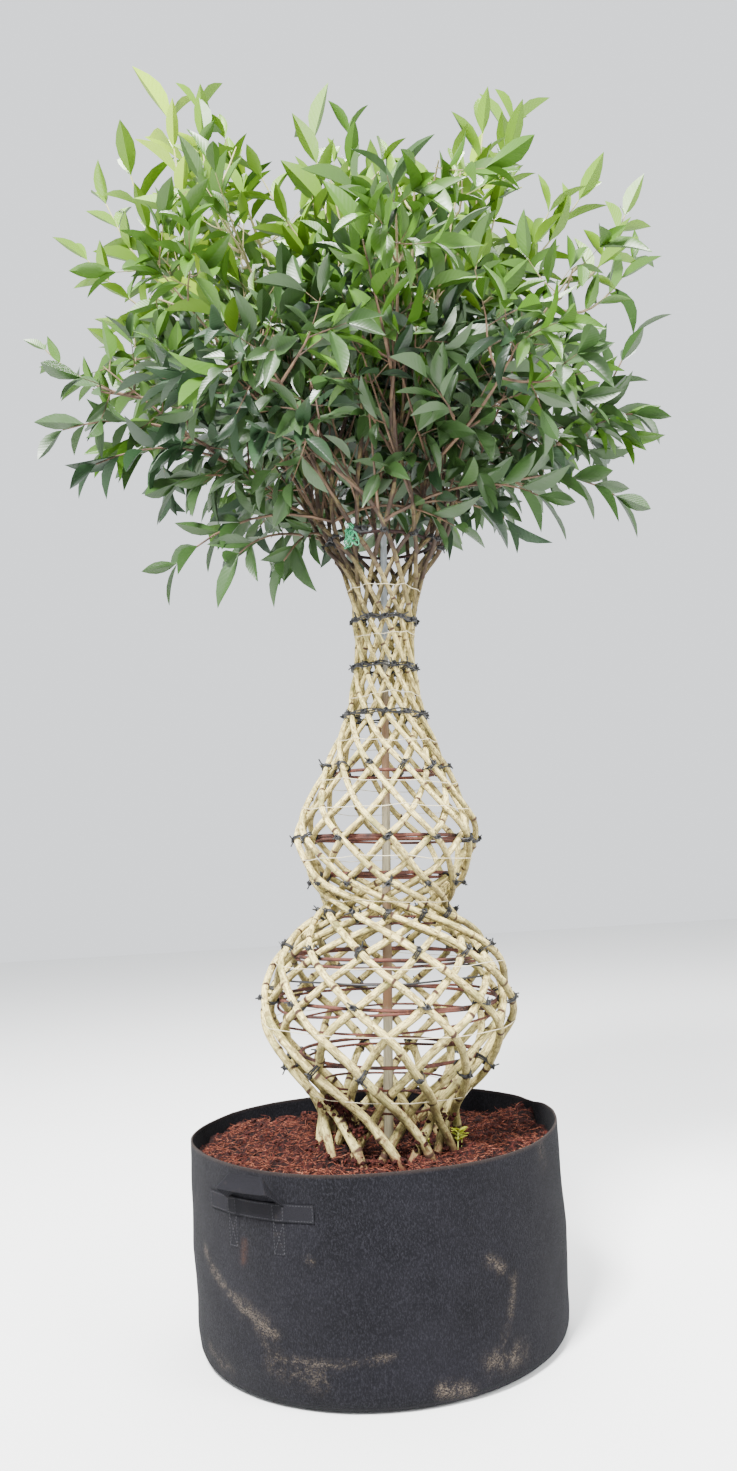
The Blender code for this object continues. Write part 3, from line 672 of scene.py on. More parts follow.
@dataclass(frozen=True)
class TwigFinish:
    """Young shoots: tan and reddish brown low in the crown, pale and greenish at the top."""

    name: str = "tan_shoots"
    slot: str = "pale_bark"
    low: Color = (0.042, 0.024, 0.016)
    tan: Color = (0.125, 0.074, 0.042)
    top: Color = (0.30, 0.29, 0.12)

    def material(self) -> Material:
        """Makes the material.

        Returns:
            The new material.
        """
        bench = Workbench(self.name, 0.7, 0.35)
        color = bench.coat(self.low, self.tan, bench.cloud(30.0, 3.0), 0.35, 0.65)
        bench.paint(bench.coat(color, self.top, bench.height(), 2.15, 2.75))
        bench.emboss(bench.cloud(400.0), 0.0006)
        return bench.material


class Tone(Enum):
    """How light a spray's leaves are: the leaf's upper face and its pale underside. The tones partly paint
    light and shade: the lightest is young leaves and also the painted glow of leaves lit from behind, and the
    two darkest are painted shade.
    """

    FRESH = ((0.225, 0.360, 0.012), (0.29, 0.41, 0.045))
    LIGHT = ((0.088, 0.178, 0.008), (0.165, 0.255, 0.035))
    MIDDLE = ((0.037, 0.094, 0.006), (0.110, 0.175, 0.036))
    DEEP = ((0.022, 0.053, 0.011), (0.090, 0.140, 0.055))
    SHADED = ((0.013, 0.034, 0.012), (0.080, 0.125, 0.062))
    SPROUT = ((0.46, 0.50, 0.055), (0.52, 0.56, 0.13))


@dataclass(frozen=True)
class LeafFinish:
    """Glossy leather of an osmanthus leaf in one tone."""

    tone: Tone
    slot: str = "osmanthus_leaf"
    rib: Color = (0.44, 0.50, 0.20)
    low_shine: float = 0.48
    top_shine: float = 0.38
    under_shine: float = 0.18
    top_gloss: Pair = (0.32, 0.50)
    rib_gloss: Pair = (0.45, 0.60)
    under_gloss: Pair = (0.60, 0.80)
    vein_slant: float = 0.55
    vein_rate: float = 62.0
    vein_depth: float = 0.00006

    def materials(self) -> list[Material]:
        """Makes the materials of the upper face, the midrib and the underside.

        Returns:
            The three materials.
        """
        upper, under = self.tone.value
        rib = tuple(0.5 * a + 0.5 * b for a, b in zip(upper, self.rib))
        shine = self.low_shine if self.tone in (Tone.DEEP, Tone.SHADED) else self.top_shine
        return [
            self.leather("upper", upper, self.top_gloss, shine),
            self.leather("midrib", rib, self.rib_gloss, shine),
            self.leather("underside", under, self.under_gloss, self.under_shine),
        ]

    def leather(self, part: str, color: Color, gloss: Pair, shine: float) -> Material:
        """Makes one plain color with an uneven gloss and side veins, which follow the mark blade.

        Args:
            part: the part's name.
            color: its color.
            gloss: the limits of its roughness.
            shine: the strength of its gloss.

        Returns:
            The new material.
        """
        bench = Workbench(f"leaf_{part}_{self.tone.name.lower()}", gloss[0], shine)
        bench.paint(color)
        bench.dull(bench.cloud(55.0, 3.0), *gloss)
        blade = bench.node("ShaderNodeSeparateXYZ", {"Vector": bench.place(mark="blade")}).outputs
        slanted = bench.plus(blade["Y"], bench.times(bench.math("ABSOLUTE", blade["X"]), -self.vein_slant))
        bench.emboss(bench.math("SINE", bench.times(slanted, self.vein_rate)), self.vein_depth)
        return bench.material


@dataclass(frozen=True)
class FloorFinish:
    """A plain pale studio floor."""

    name: str = "pale_floor"
    color: Color = (0.80, 0.80, 0.79)

    def material(self) -> Material:
        """Makes the material.

        Returns:
            The new material.
        """
        bench = Workbench(self.name, 0.85, 0.2)
        bench.paint(self.color)
        return bench.material


Finish = (
    FeltFinish | WebbingFinish | SpunFinish | CoirFinish | BarkFinish | PoleFinish | RustFinish | TwigFinish
)


def dress(shape: Piece | Mesh, finish: Finish, stands_for: Sequence[str] = ()) -> None:
    """Finishes a piece in one material that is made for it."""
    show(shape, finish.slot, [finish.material()], stands_for)


def show(
    shape: Piece | Mesh, slot: str, materials: Sequence[Material], stands_for: Sequence[str] = ()
) -> None:
    """Finishes a piece: its materials, what it rides on and what it stands for.

    Args:
        shape: the piece, with its place in its mesh, or a mesh that is put in the scene first.
        slot: the slot that its finish belongs to; not used.
        materials: its materials, in the order that its faces number them.
        stands_for: the nodes that it replaces.
    """
    obj = stand(shape) if isinstance(shape, Mesh) else shape
    obj.data.materials.clear()
    for material in materials:
        obj.data.materials.append(material)
    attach(obj, BODY)
    if stands_for:
        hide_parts(*stands_for)
    LOG.info("%s: %d faces", obj.name, len(obj.data.polygons))


def stand(mesh: Mesh) -> Piece:
    """Puts a mesh in the scene as an object of the same name.

    Args:
        mesh: the mesh.

    Returns:
        The new object.
    """
    obj = bpy.data.objects.new(mesh.name, mesh)
    bpy.context.scene.collection.objects.link(obj)
    return obj


def deselect_all() -> None:
    """Leaves nothing selected, so that operators act only on what is added next."""
    bpy.ops.object.select_all(action="DESELECT")


def places_of(obj: Piece) -> Array:
    """The points of an object's mesh, one in each row.

    Args:
        obj: the object.

    Returns:
        The points.
    """
    points = np.empty(len(obj.data.vertices) * 3, np.float32)
    obj.data.vertices.foreach_get("co", points)
    return points.reshape(-1, 3).astype(float)


def move_points(obj: Piece, points: Array) -> None:
    """Moves the points of an object's mesh."""
    obj.data.vertices.foreach_set("co", points.astype(np.float32).ravel())
    obj.data.update()


def smooth_but(mesh: Mesh, sharp_deg: float) -> None:
    """Smooths a mesh's shading, all but the edges that are sharper than this."""
    mesh.shade_smooth()
    mesh.set_sharp_from_angle(angle=math.radians(sharp_deg))


def draw_up(name: str, sides: int, profile: Sequence[Pair], cover: bool) -> Piece:
    """Models a round shape from a filled circle, extruded ring by ring along a profile.

    Args:
        name: the object's name.
        sides: how many sides it has.
        profile: (radius, height) points that start at the rim of the underside.
        cover: whether the last ring is filled.

    Returns:
        The new object, in object mode.
    """
    deselect_all()
    radius, height = profile[0]
    bpy.ops.mesh.primitive_circle_add(
        vertices=sides, radius=radius, fill_type="NGON", location=(0, 0, height)
    )
    obj = bpy.context.object
    obj.name = obj.data.name = name
    bpy.ops.object.transform_apply(location=True, rotation=False, scale=False)
    bpy.ops.object.mode_set(mode="EDIT")
    bpy.ops.mesh.select_mode(type="FACE")
    bpy.ops.mesh.select_all(action="SELECT")
    for wider, higher in profile[1:]:
        bpy.ops.mesh.extrude_region_move(TRANSFORM_OT_translate={"value": (0.0, 0.0, higher - height)})
        size = wider / radius
        bpy.ops.transform.resize(value=(size, size, 1.0), center_override=(0.0, 0.0, 0.0))
        radius, height = wider, higher
    if not cover:
        bpy.ops.mesh.delete(type="ONLY_FACE")
    bpy.ops.mesh.select_all(action="SELECT")
    bpy.ops.mesh.normals_make_consistent(inside=False)
    bpy.ops.object.mode_set(mode="OBJECT")
    obj.data.shade_smooth()
    return obj


def apply_modifier(obj: Piece, kind: str, **settings: object) -> None:
    """Gives an object a modifier and applies it.

    Args:
        obj: the object.
        kind: the modifier's type.
        settings: the modifier's settings.
    """
    modifier = obj.modifiers.new(kind.title(), kind)
    for name, value in settings.items():
        setattr(modifier, name, value)
    deselect_all()
    bpy.context.view_layer.objects.active = obj
    obj.select_set(True)
    bpy.ops.object.modifier_apply(modifier=modifier.name)


def thicken(obj: Piece, thickness: float, offset: float) -> None:
    """Gives a surface a thickness, outwards by an offset of 1 and inwards by one of -1."""
    apply_modifier(obj, "SOLIDIFY", thickness=thickness, offset=offset, use_even_offset=True)


def round_edges(obj: Piece, width: float, sharp_deg: float) -> None:
    """Rounds the edges that are sharper than an angle.

    Args:
        obj: the object.
        width: how wide the rounding is.
        sharp_deg: the angle.
    """
    apply_modifier(
        obj, "BEVEL", width=width, segments=2, limit_method="ANGLE", angle_limit=math.radians(sharp_deg)
    )


@dataclass(frozen=True)
class Weave:
    """The rule of the woven trunk: its outline, how its stems turn, and how thick they are."""

    foot: Triple = (0.031, 0.0, 0.394)
    lean_deg: float = 3.0
    each_way: int = 12
    front_deg: float = -90.0

    crossing_slack: float = 1.08
    gap: float = 0.0003
    slope_step: float = 0.004
    foot_turn_deg: float = 495.0
    outline: Curve = (
        (-0.060, 0.167), (0.070, 0.163), (0.180, 0.237), (0.300, 0.297), (0.390, 0.276), (0.450, 0.236),
        (0.538, 0.150), (0.610, 0.190), (0.700, 0.217), (0.800, 0.174), (0.905, 0.124), (0.990, 0.093),
        (1.130, 0.073), (1.240, 0.081), (1.330, 0.106), (1.388, 0.143),
    )
    turns: Curve = (
        (0.0, 1.388), (30.0, 1.284), (60.0, 1.203), (150.0, 0.974), (195.0, 0.850), (240.0, 0.686),
        (270.0, 0.590), (315.0, 0.534), (360.0, 0.479), (390.0, 0.390), (420.0, 0.264), (435.0, 0.184),
        (450.0, 0.121), (465.0, 0.073), (480.0, 0.023), (495.0, -0.045),
    )
    stem_radii: Curve = (
        (-0.05, 0.0113), (0.05, 0.0107), (0.35, 0.0090), (0.75, 0.0074), (1.10, 0.0062), (1.39, 0.0058),
    )

    @property
    def pitch_deg(self) -> float:
        """The angle between neighbouring stems."""
        return 360.0 / self.each_way

    def height(self, turn: Values) -> Array:
        """The height at which a stem has this much of a turn left to the top ring."""
        return smooth_value(self.turns, turn)

    def radius(self, height: Values) -> Array:
        """The radius over the outer stems."""
        return smooth_value(self.outline, np.clip(height, self.outline[0][0], self.outline[-1][0]))

    def stem_radius(self, height: Values) -> Array:
        """The radius of one stem."""
        return smooth_value(self.stem_radii, np.clip(height, self.stem_radii[0][0], self.stem_radii[-1][0]))

    def inner_depth(self, height: Values) -> Array:
        """How deep the inner stems' middles lie under the outer stems' middles."""
        return 2.0 * self.stem_radius(height) * self.crossing_slack + self.gap

    def tilt(self, height: Values) -> tuple[Array, Array]:
        """The wall's outward direction at a height, as its outward and upward shares.

        Args:
            height: the height.

        Returns:
            The two shares.
        """
        step = self.slope_step
        slope = (self.radius(np.add(height, step)) - self.radius(np.subtract(height, step))) / (2.0 * step)
        size = np.sqrt(1.0 + slope**2)
        return 1.0 / size, -slope / size

    def at(self, height: Values, azimuth: Values, depth: Values) -> Array:
        """Points this deep under the middles of the outer stems, in the trunk's own frame.

        Args:
            height: the height.
            azimuth: the azimuth, in degrees.
            depth: how deep they lie.

        Returns:
            The points.
        """
        outward, upward = self.tilt(height)
        radius = self.radius(height) - self.stem_radius(height) * outward
        return polar(radius - depth * outward, azimuth, height - depth * upward)

    def facing(self, height: Values, azimuth: Values) -> Array:
        """The wall's outward direction, in the trunk's own frame."""
        outward, upward = self.tilt(height)
        return polar(outward, azimuth, upward)

    def leaned(self, points: Array) -> Array:
        """Takes points of the trunk's own frame to their place on the leaning trunk."""
        return self.turned(points) + np.array(self.foot)

    def turned(self, directions: Array) -> Array:
        """Turns directions of the trunk's own frame with the lean."""
        c, s = math.cos(math.radians(self.lean_deg)), math.sin(math.radians(self.lean_deg))
        return directions @ np.array([[c, 0.0, s], [0.0, 1.0, 0.0], [-s, 0.0, c]]).T


@dataclass(frozen=True)
class MassKind:
    """Where masses of one kind start and end, as (out, height), and how their leaves hang."""

    word: str
    start: Pair
    end: Pair
    droop: float


SKIRT = MassKind("skirt", (0.25, 1.94), (0.53, 2.08), 0.45)
SHOULDER = MassKind("shoulder", (0.27, 2.06), (0.56, 2.34), 0.15)
FLANK = MassKind("flank", (0.24, 2.16), (0.43, 2.56), 0.05)
CREST = MassKind("crest", (0.18, 2.20), (0.34, 2.70), 0.0)
CENTRE_LOW = MassKind("centre_low", (0.06, 2.02), (0.08, 2.24), 0.1)
CENTRE_MIDDLE = MassKind("centre_middle", (0.05, 2.14), (0.06, 2.46), 0.0)
CENTRE_HIGH = MassKind("centre_high", (0.04, 2.32), (0.04, 2.62), 0.0)


@dataclass(frozen=True)
class Mass:
    """One mass of foliage: its name and the run of its own stem on from its bough's tip."""

    name: str
    tip: Vector
    end: Vector
    droop: float

    @property
    def course(self) -> Vector:
        """The direction of its stem."""
        return (self.end - self.tip).normalized()


@dataclass(frozen=True)
class CrownPlan:
    """Where the boughs end and the masses of foliage start, by the rule of the solids."""

    foot: Triple = (0.090, 0.0, 0.0)
    middle: Triple = (0.065, 0.0, 0.0)
    tip_drift_deg: float = 22.0
    azimuth_jitter_deg: float = 3.0
    height_jitter: float = 0.03
    seed: int = 7
    outer_kinds: tuple[MassKind, ...] = (SKIRT, SHOULDER) * 6
    inner_kinds: tuple[MassKind, ...] = (
        FLANK, CREST, CENTRE_LOW, CREST, FLANK, CREST, CENTRE_MIDDLE, CREST, FLANK, CREST, CENTRE_HIGH, CREST,
    )
    outer_ends: tuple[tuple[int, Pair], ...] = ((4, (0.58, 2.08)), (10, (0.61, 2.25)))
    inner_ends: tuple[tuple[int, Pair], ...] = (
        (1, (0.34, 2.58)), (3, (0.44, 2.84)), (5, (0.30, 2.78)),
        (7, (0.34, 2.80)), (9, (0.40, 2.70)), (11, (0.30, 2.54)),
    )

    def name(self, kinds: Sequence[MassKind], number: int) -> str:
        """The mass's node: its kind, numbered where there are several.

        Args:
            kinds: the kinds of the masses, in order.
            number: the mass's number.

        Returns:
            The node's name.
        """
        kind = kinds[number]
        if kinds.count(kind) == 1:
            return f"foliage_{kind.word}"
        return f"foliage_{kind.word}_{kinds[:number + 1].count(kind)}"

    def masses(self, weave: Weave) -> dict[Key, Mass]:
        """Works out the mass of every stem.

        Args:
            weave: the woven trunk.

        Returns:
            The mass for each stem, named by whether it is an inner one and by its number.
        """
        rng = Random(self.seed)
        plan = {}
        for inside, kinds, ends, drift in (
            (False, self.outer_kinds, dict(self.outer_ends), -self.tip_drift_deg),
            (True, self.inner_kinds, dict(self.inner_ends), self.tip_drift_deg),
        ):
            for number, kind in enumerate(kinds):
                azimuth = weave.front_deg + weave.pitch_deg * number + drift
                azimuth += rng.uniform(-self.azimuth_jitter_deg, self.azimuth_jitter_deg)
                lift = rng.uniform(-self.height_jitter, self.height_jitter)
                out, height = ends.get(number, kind.end)
                tip = Vector(self.foot) + Vector(polar(kind.start[0], azimuth, kind.start[1] + lift))
                end = Vector(self.middle) + Vector(polar(out, azimuth, height + lift))
                plan[inside, number] = Mass(self.name(kinds, number), tip, end, kind.droop)
        return plan


@dataclass
class Limb:
    """A stem with its bough: its middle line, its radii, and where the bough starts."""

    name: str
    path: Array
    radii: Array
    bough_from: int


@dataclass
class WovenStems:
    """The twenty-four stems, each one tapering limb with nodes, scars and the grain of its bark."""

    weave: Weave
    masses: dict[Key, Mass]
    finish: BarkFinish = BarkFinish()
    sides: int = 11
    turn_step_deg: float = 2.0
    bough_rings: int = 40
    bough_tip_radius: float = 0.0048
    outer_flare: float = 0.50
    inner_flare: float = 0.36
    settle: float = 0.3
    stub: float = 0.03
    heading_turn_deg: float = 30.0
    ring_step: float = 0.014
    node_gaps: Pair = (0.055, 0.115)
    slimness: float = 0.91
    first_node: Pair = (0.02, 0.08)
    last_node: float = 0.02
    node_rings: tuple[float, ...] = (-1.1, -0.55, -0.2, 0.2, 0.55, 1.1)
    closest_rings: float = 0.0012
    node_swell: Pair = (0.03, 0.13)
    node_length: float = 0.9
    scar_rise: Pair = (0.10, 0.38)
    scar_size: Pair = (0.55, 0.6)
    stain_size: Pair = (0.42, 1.3)
    wander: float = 0.0011
    seed: int = 31

    def limb(self, inside: bool, number: int) -> Limb:
        """Works out one stem from under the soil to its bough's tip.

        Args:
            inside: whether it is an inner stem.
            number: its number round the plant.

        Returns:
            The limb.
        """
        weave, sense = self.weave, -1.0 if inside else 1.0
        turns = np.arange(weave.foot_turn_deg, -0.1, -self.turn_step_deg)
        angles = weave.front_deg + weave.pitch_deg * number + sense * turns
        heights = weave.height(turns)
        depths = weave.inner_depth(heights) if inside else np.zeros(len(heights))
        trunk = weave.leaned(weave.at(heights, angles, depths))
        back = round(self.heading_turn_deg / self.turn_step_deg)
        heading = unit(trunk[-1] - trunk[-1 - back])
        mass = self.masses[inside, number]
        flare = self.inner_flare if inside else self.outer_flare
        start, tip, course = trunk[-1], np.array(mass.tip), np.array(mass.course)
        reach = np.linalg.norm(tip - start)
        end = tip - course * self.stub
        first, last = start + heading * reach * flare, end - course * reach * self.settle
        t = np.linspace(0.0, 1.0, self.bough_rings)[1:, None]
        s = 1.0 - t
        bough = start * s**3 + first * 3 * s * s * t + last * 3 * s * t * t + end * t**3
        path = np.concatenate([trunk, bough, tip[None]])
        radii = np.concatenate([
            weave.stem_radius(heights),
            np.linspace(weave.stem_radius(heights[-1]), self.bough_tip_radius, self.bough_rings + 1)[1:],
        ])
        side = "inner" if inside else "outer"
        return Limb(f"stem_{side}_{number + 1:02d}", path, radii, len(trunk) - 1)

    def limbs(self) -> dict[Key, Limb]:
        """Works out every stem."""
        return {key: self.limb(*key) for key in self.masses}

    def deal_nodes(self, length: float, rng: Random) -> list[Four]:
        """Deals a limb's nodes: for each its place, its swelling, and its scar's rise and angle.

        Args:
            length: the limb's length.
            rng: deals the random values.

        Returns:
            The four values of each node.
        """
        nodes = []
        at = rng.uniform(*self.first_node)
        while at < length - self.last_node:
            swelling, rise = rng.uniform(*self.node_swell), rng.uniform(*self.scar_rise)
            nodes.append((at, swelling, rise, rng.uniform(0.0, TURN)))
            at += rng.uniform(*self.node_gaps)
        return nodes

    def ring_places(self, run: Array, radii: Array, nodes: Sequence[Four]) -> Array:
        """Where a limb's rings lie: in even steps, and closer together round each node.

        Args:
            run: how far along the limb each of its points lies.
            radii: its radius at those points.
            nodes: its nodes.

        Returns:
            How far along the limb each ring lies.
        """
        marks = [np.arange(0.0, run[-1], self.ring_step), np.array([run[-1]])]
        for at, *_ in nodes:
            marks.append(at + float(np.interp(at, run, radii)) * np.array(self.node_rings))
        places = np.unique(np.round(np.concatenate(marks), 4))
        places = places[(places >= 0.0) & (places <= run[-1])]
        return places[np.concatenate([[True], np.diff(places) > self.closest_rings])]

    def barked(self, limb: Limb, rng: Random) -> Heap:
        """Gives one limb the relief of its bark: swollen nodes with a raised scar on one side.

        Args:
            limb: the limb.
            rng: deals out the nodes.

        Returns:
            The shape, with its marks scar, grain and under; under says how far each point faces down, for the
            painted shade on the undersides.
        """
        steps = np.linalg.norm(np.diff(limb.path, axis=0), axis=1)
        run = np.concatenate([[0.0], np.cumsum(steps)])
        nodes = self.deal_nodes(run[-1], rng)
        places = self.ring_places(run, limb.radii, nodes)
        path = np.stack([np.interp(places, run, limb.path[:, axis]) for axis in range(3)], axis=-1)
        radii = np.interp(places, run, limb.radii)
        angles = TURN * np.arange(self.sides) / self.sides
        swell = np.full((len(places), self.sides), self.slimness)
        scar = np.zeros_like(swell)
        for at, bulge, rise, angle in nodes:
            size = float(np.interp(at, run, limb.radii))
            along = ((places - at) / size)[:, None]
            aside = np.angle(np.exp(1j * (angles - angle)))[None]
            swell += bulge * bell(along, self.node_length)
            swell += rise * np.exp(-(along / self.scar_size[0]) ** 2 - (aside / self.scar_size[1]) ** 2)
            spread = 0.35 + 0.65 * bell(aside, self.stain_size[1])
            scar = np.maximum(scar, bell(along, self.stain_size[0]) * spread * (0.5 + rise))
        phase = rng.uniform(0.0, 100.0)
        waves = ((31.0, 1.0), (23.0, 2.1), (27.0, 3.7))
        drift = np.stack([np.sin(places * rate + start * phase) for rate, start in waves], axis=-1)
        path = path + drift * self.wander
        oval = 0.05 * np.cos(2.0 * (angles[None] - phase - places[:, None] * 6.0))
        ridges = 0.025 * np.sin(3.0 * angles[None] + 9.0 * places[:, None] + phase)
        swell += oval + ridges
        points, faces = tube(path, radii, self.sides, swell=swell)
        wide = np.repeat(radii, self.sides)
        cosines, sines = (np.tile(values, len(places)) for values in (np.cos(angles), np.sin(angles)))
        grain = np.stack([wide * cosines, wide * sines, np.repeat(places, self.sides) + phase], axis=-1)
        grain = np.concatenate([grain, np.zeros((2, 3))])
        outward = unit(points[:-2] - np.repeat(path, self.sides, axis=0))
        # How far each point faces down: the bark paints shade there.
        under = np.concatenate([-outward[:, 2], [0.0, 0.0]])
        heap = Heap()
        heap.add(points, faces, scar=np.concatenate([scar.ravel(), [0.0, 0.0]]), grain=grain, under=under)
        return heap

    def build(self) -> dict[Key, Limb]:
        """Makes every stem.

        Returns:
            The limbs that the crown grows on from.
        """
        limbs = self.limbs()
        bark = self.finish.material()
        rng = Random(self.seed)
        for limb in limbs.values():
            mesh = self.barked(limb, rng).mesh(f"{limb.name}_bark", 75.0)
            show(mesh, self.finish.slot, [bark], [limb.name])
        return limbs


@dataclass
class Hoops:
    """The iron rods, bent to hoops and seated inside the lattice."""

    weave: Weave
    finish: RustFinish = RustFinish()
    # A darker copy of the rust, for the top ring.
    top_finish: RustFinish = RustFinish(
        "darker_top_rod", dark=(0.006, 0.003, 0.003), red=(0.026, 0.010, 0.008), orange=(0.060, 0.028, 0.018)
    )
    rod_radius: float = 0.0040
    sides: int = 8
    around: int = 96
    bend: float = 0.0022
    named: tuple[tuple[str, float, int, float], ...] = (
        ("ring_top", 0.0, 1, 0.003), ("ring_upper_bulb_high", 195.0, 1, 0.001),
        ("ring_upper_bulb_middle", 240.0, 2, 0.001), ("ring_upper_bulb_low", 270.0, 2, 0.002),
        ("ring_lower_bulb_high", 375.0, 2, 0.005), ("ring_lower_bulb_middle", 405.0, 2, 0.009),
        ("ring_lower_bulb_low", 435.0, 2, 0.008),
    )
    spare: Curve = ((330.0, 0.004), (420.0, 0.012), (452.0, 0.005), (462.0, 0.004))
    twin_gap: float = 0.0075
    spare_radius: float = 0.0026

    def hoop(
        self, name: str, turn: float, radius: float, rise: float, phase: float, slope: float
    ) -> Piece:
        """Bends one rod to a hoop.

        Args:
            name: the object's name.
            turn: the lattice turn that it lies at.
            radius: the rod's radius.
            rise: how far above that turn's height it lies.
            phase: where its bends fall.
            slope: how far it rises on one side and sinks on the other.

        Returns:
            The hoop on the leaning trunk.
        """
        weave = self.weave
        height = float(weave.height(turn))
        depth = weave.inner_depth(height) + weave.stem_radius(height) + radius + weave.gap
        seat = weave.at(height, 0.0, depth)
        deselect_all()
        bpy.ops.mesh.primitive_torus_add(
            major_segments=self.around, minor_segments=self.sides, major_radius=float(seat[0]),
            minor_radius=radius, location=(0.0, 0.0, float(seat[2]) + rise),
        )
        obj = bpy.context.object
        obj.name = obj.data.name = name
        bpy.ops.object.transform_apply(location=True, rotation=False, scale=False)
        points = places_of(obj)
        angle = np.arctan2(points[:, 1], points[:, 0])
        dents = 0.6 + 0.4 * np.sin(2.0 * angle + phase) + 0.3 * np.sin(5.0 * angle + 2.0 * phase)
        points[:, :2] += unit(points[:, :2]) * np.minimum(-self.bend * dents, 0.0)[:, None]
        ripple = 0.3 * (self.bend + slope) * np.sin(3.0 * angle + 1.7 * phase)
        points[:, 2] += slope * np.sin(angle + phase) + ripple
        move_points(obj, weave.leaned(points))
        obj.data.shade_smooth()
        return obj

    def build(self) -> None:
        """Makes the hoops, single and twin, and the thinner spare rods."""
        rust, black = self.finish.material(), self.top_finish.material()
        for i, (name, turn, rods, slope) in enumerate(self.named):
            for rod in range(rods):
                radius, sink = self.rod_radius * (1.0 - 0.2 * rod), -rod * self.twin_gap
                phase, tipped = i + 2.3 * rod, slope * (0.3 + rod)
                piece = self.hoop(f"{name}_rod_{rod + 1}", turn, radius, sink, phase, tipped)
                show(piece, self.finish.slot, [rust if turn else black], [name] if rod == 0 else ())
        for i, (turn, slope) in enumerate(self.spare):
            piece = self.hoop(f"spare_rod_{i + 1}", turn, self.spare_radius, 0.0, 1.8 * i, slope)
            show(piece, self.finish.slot, [rust])


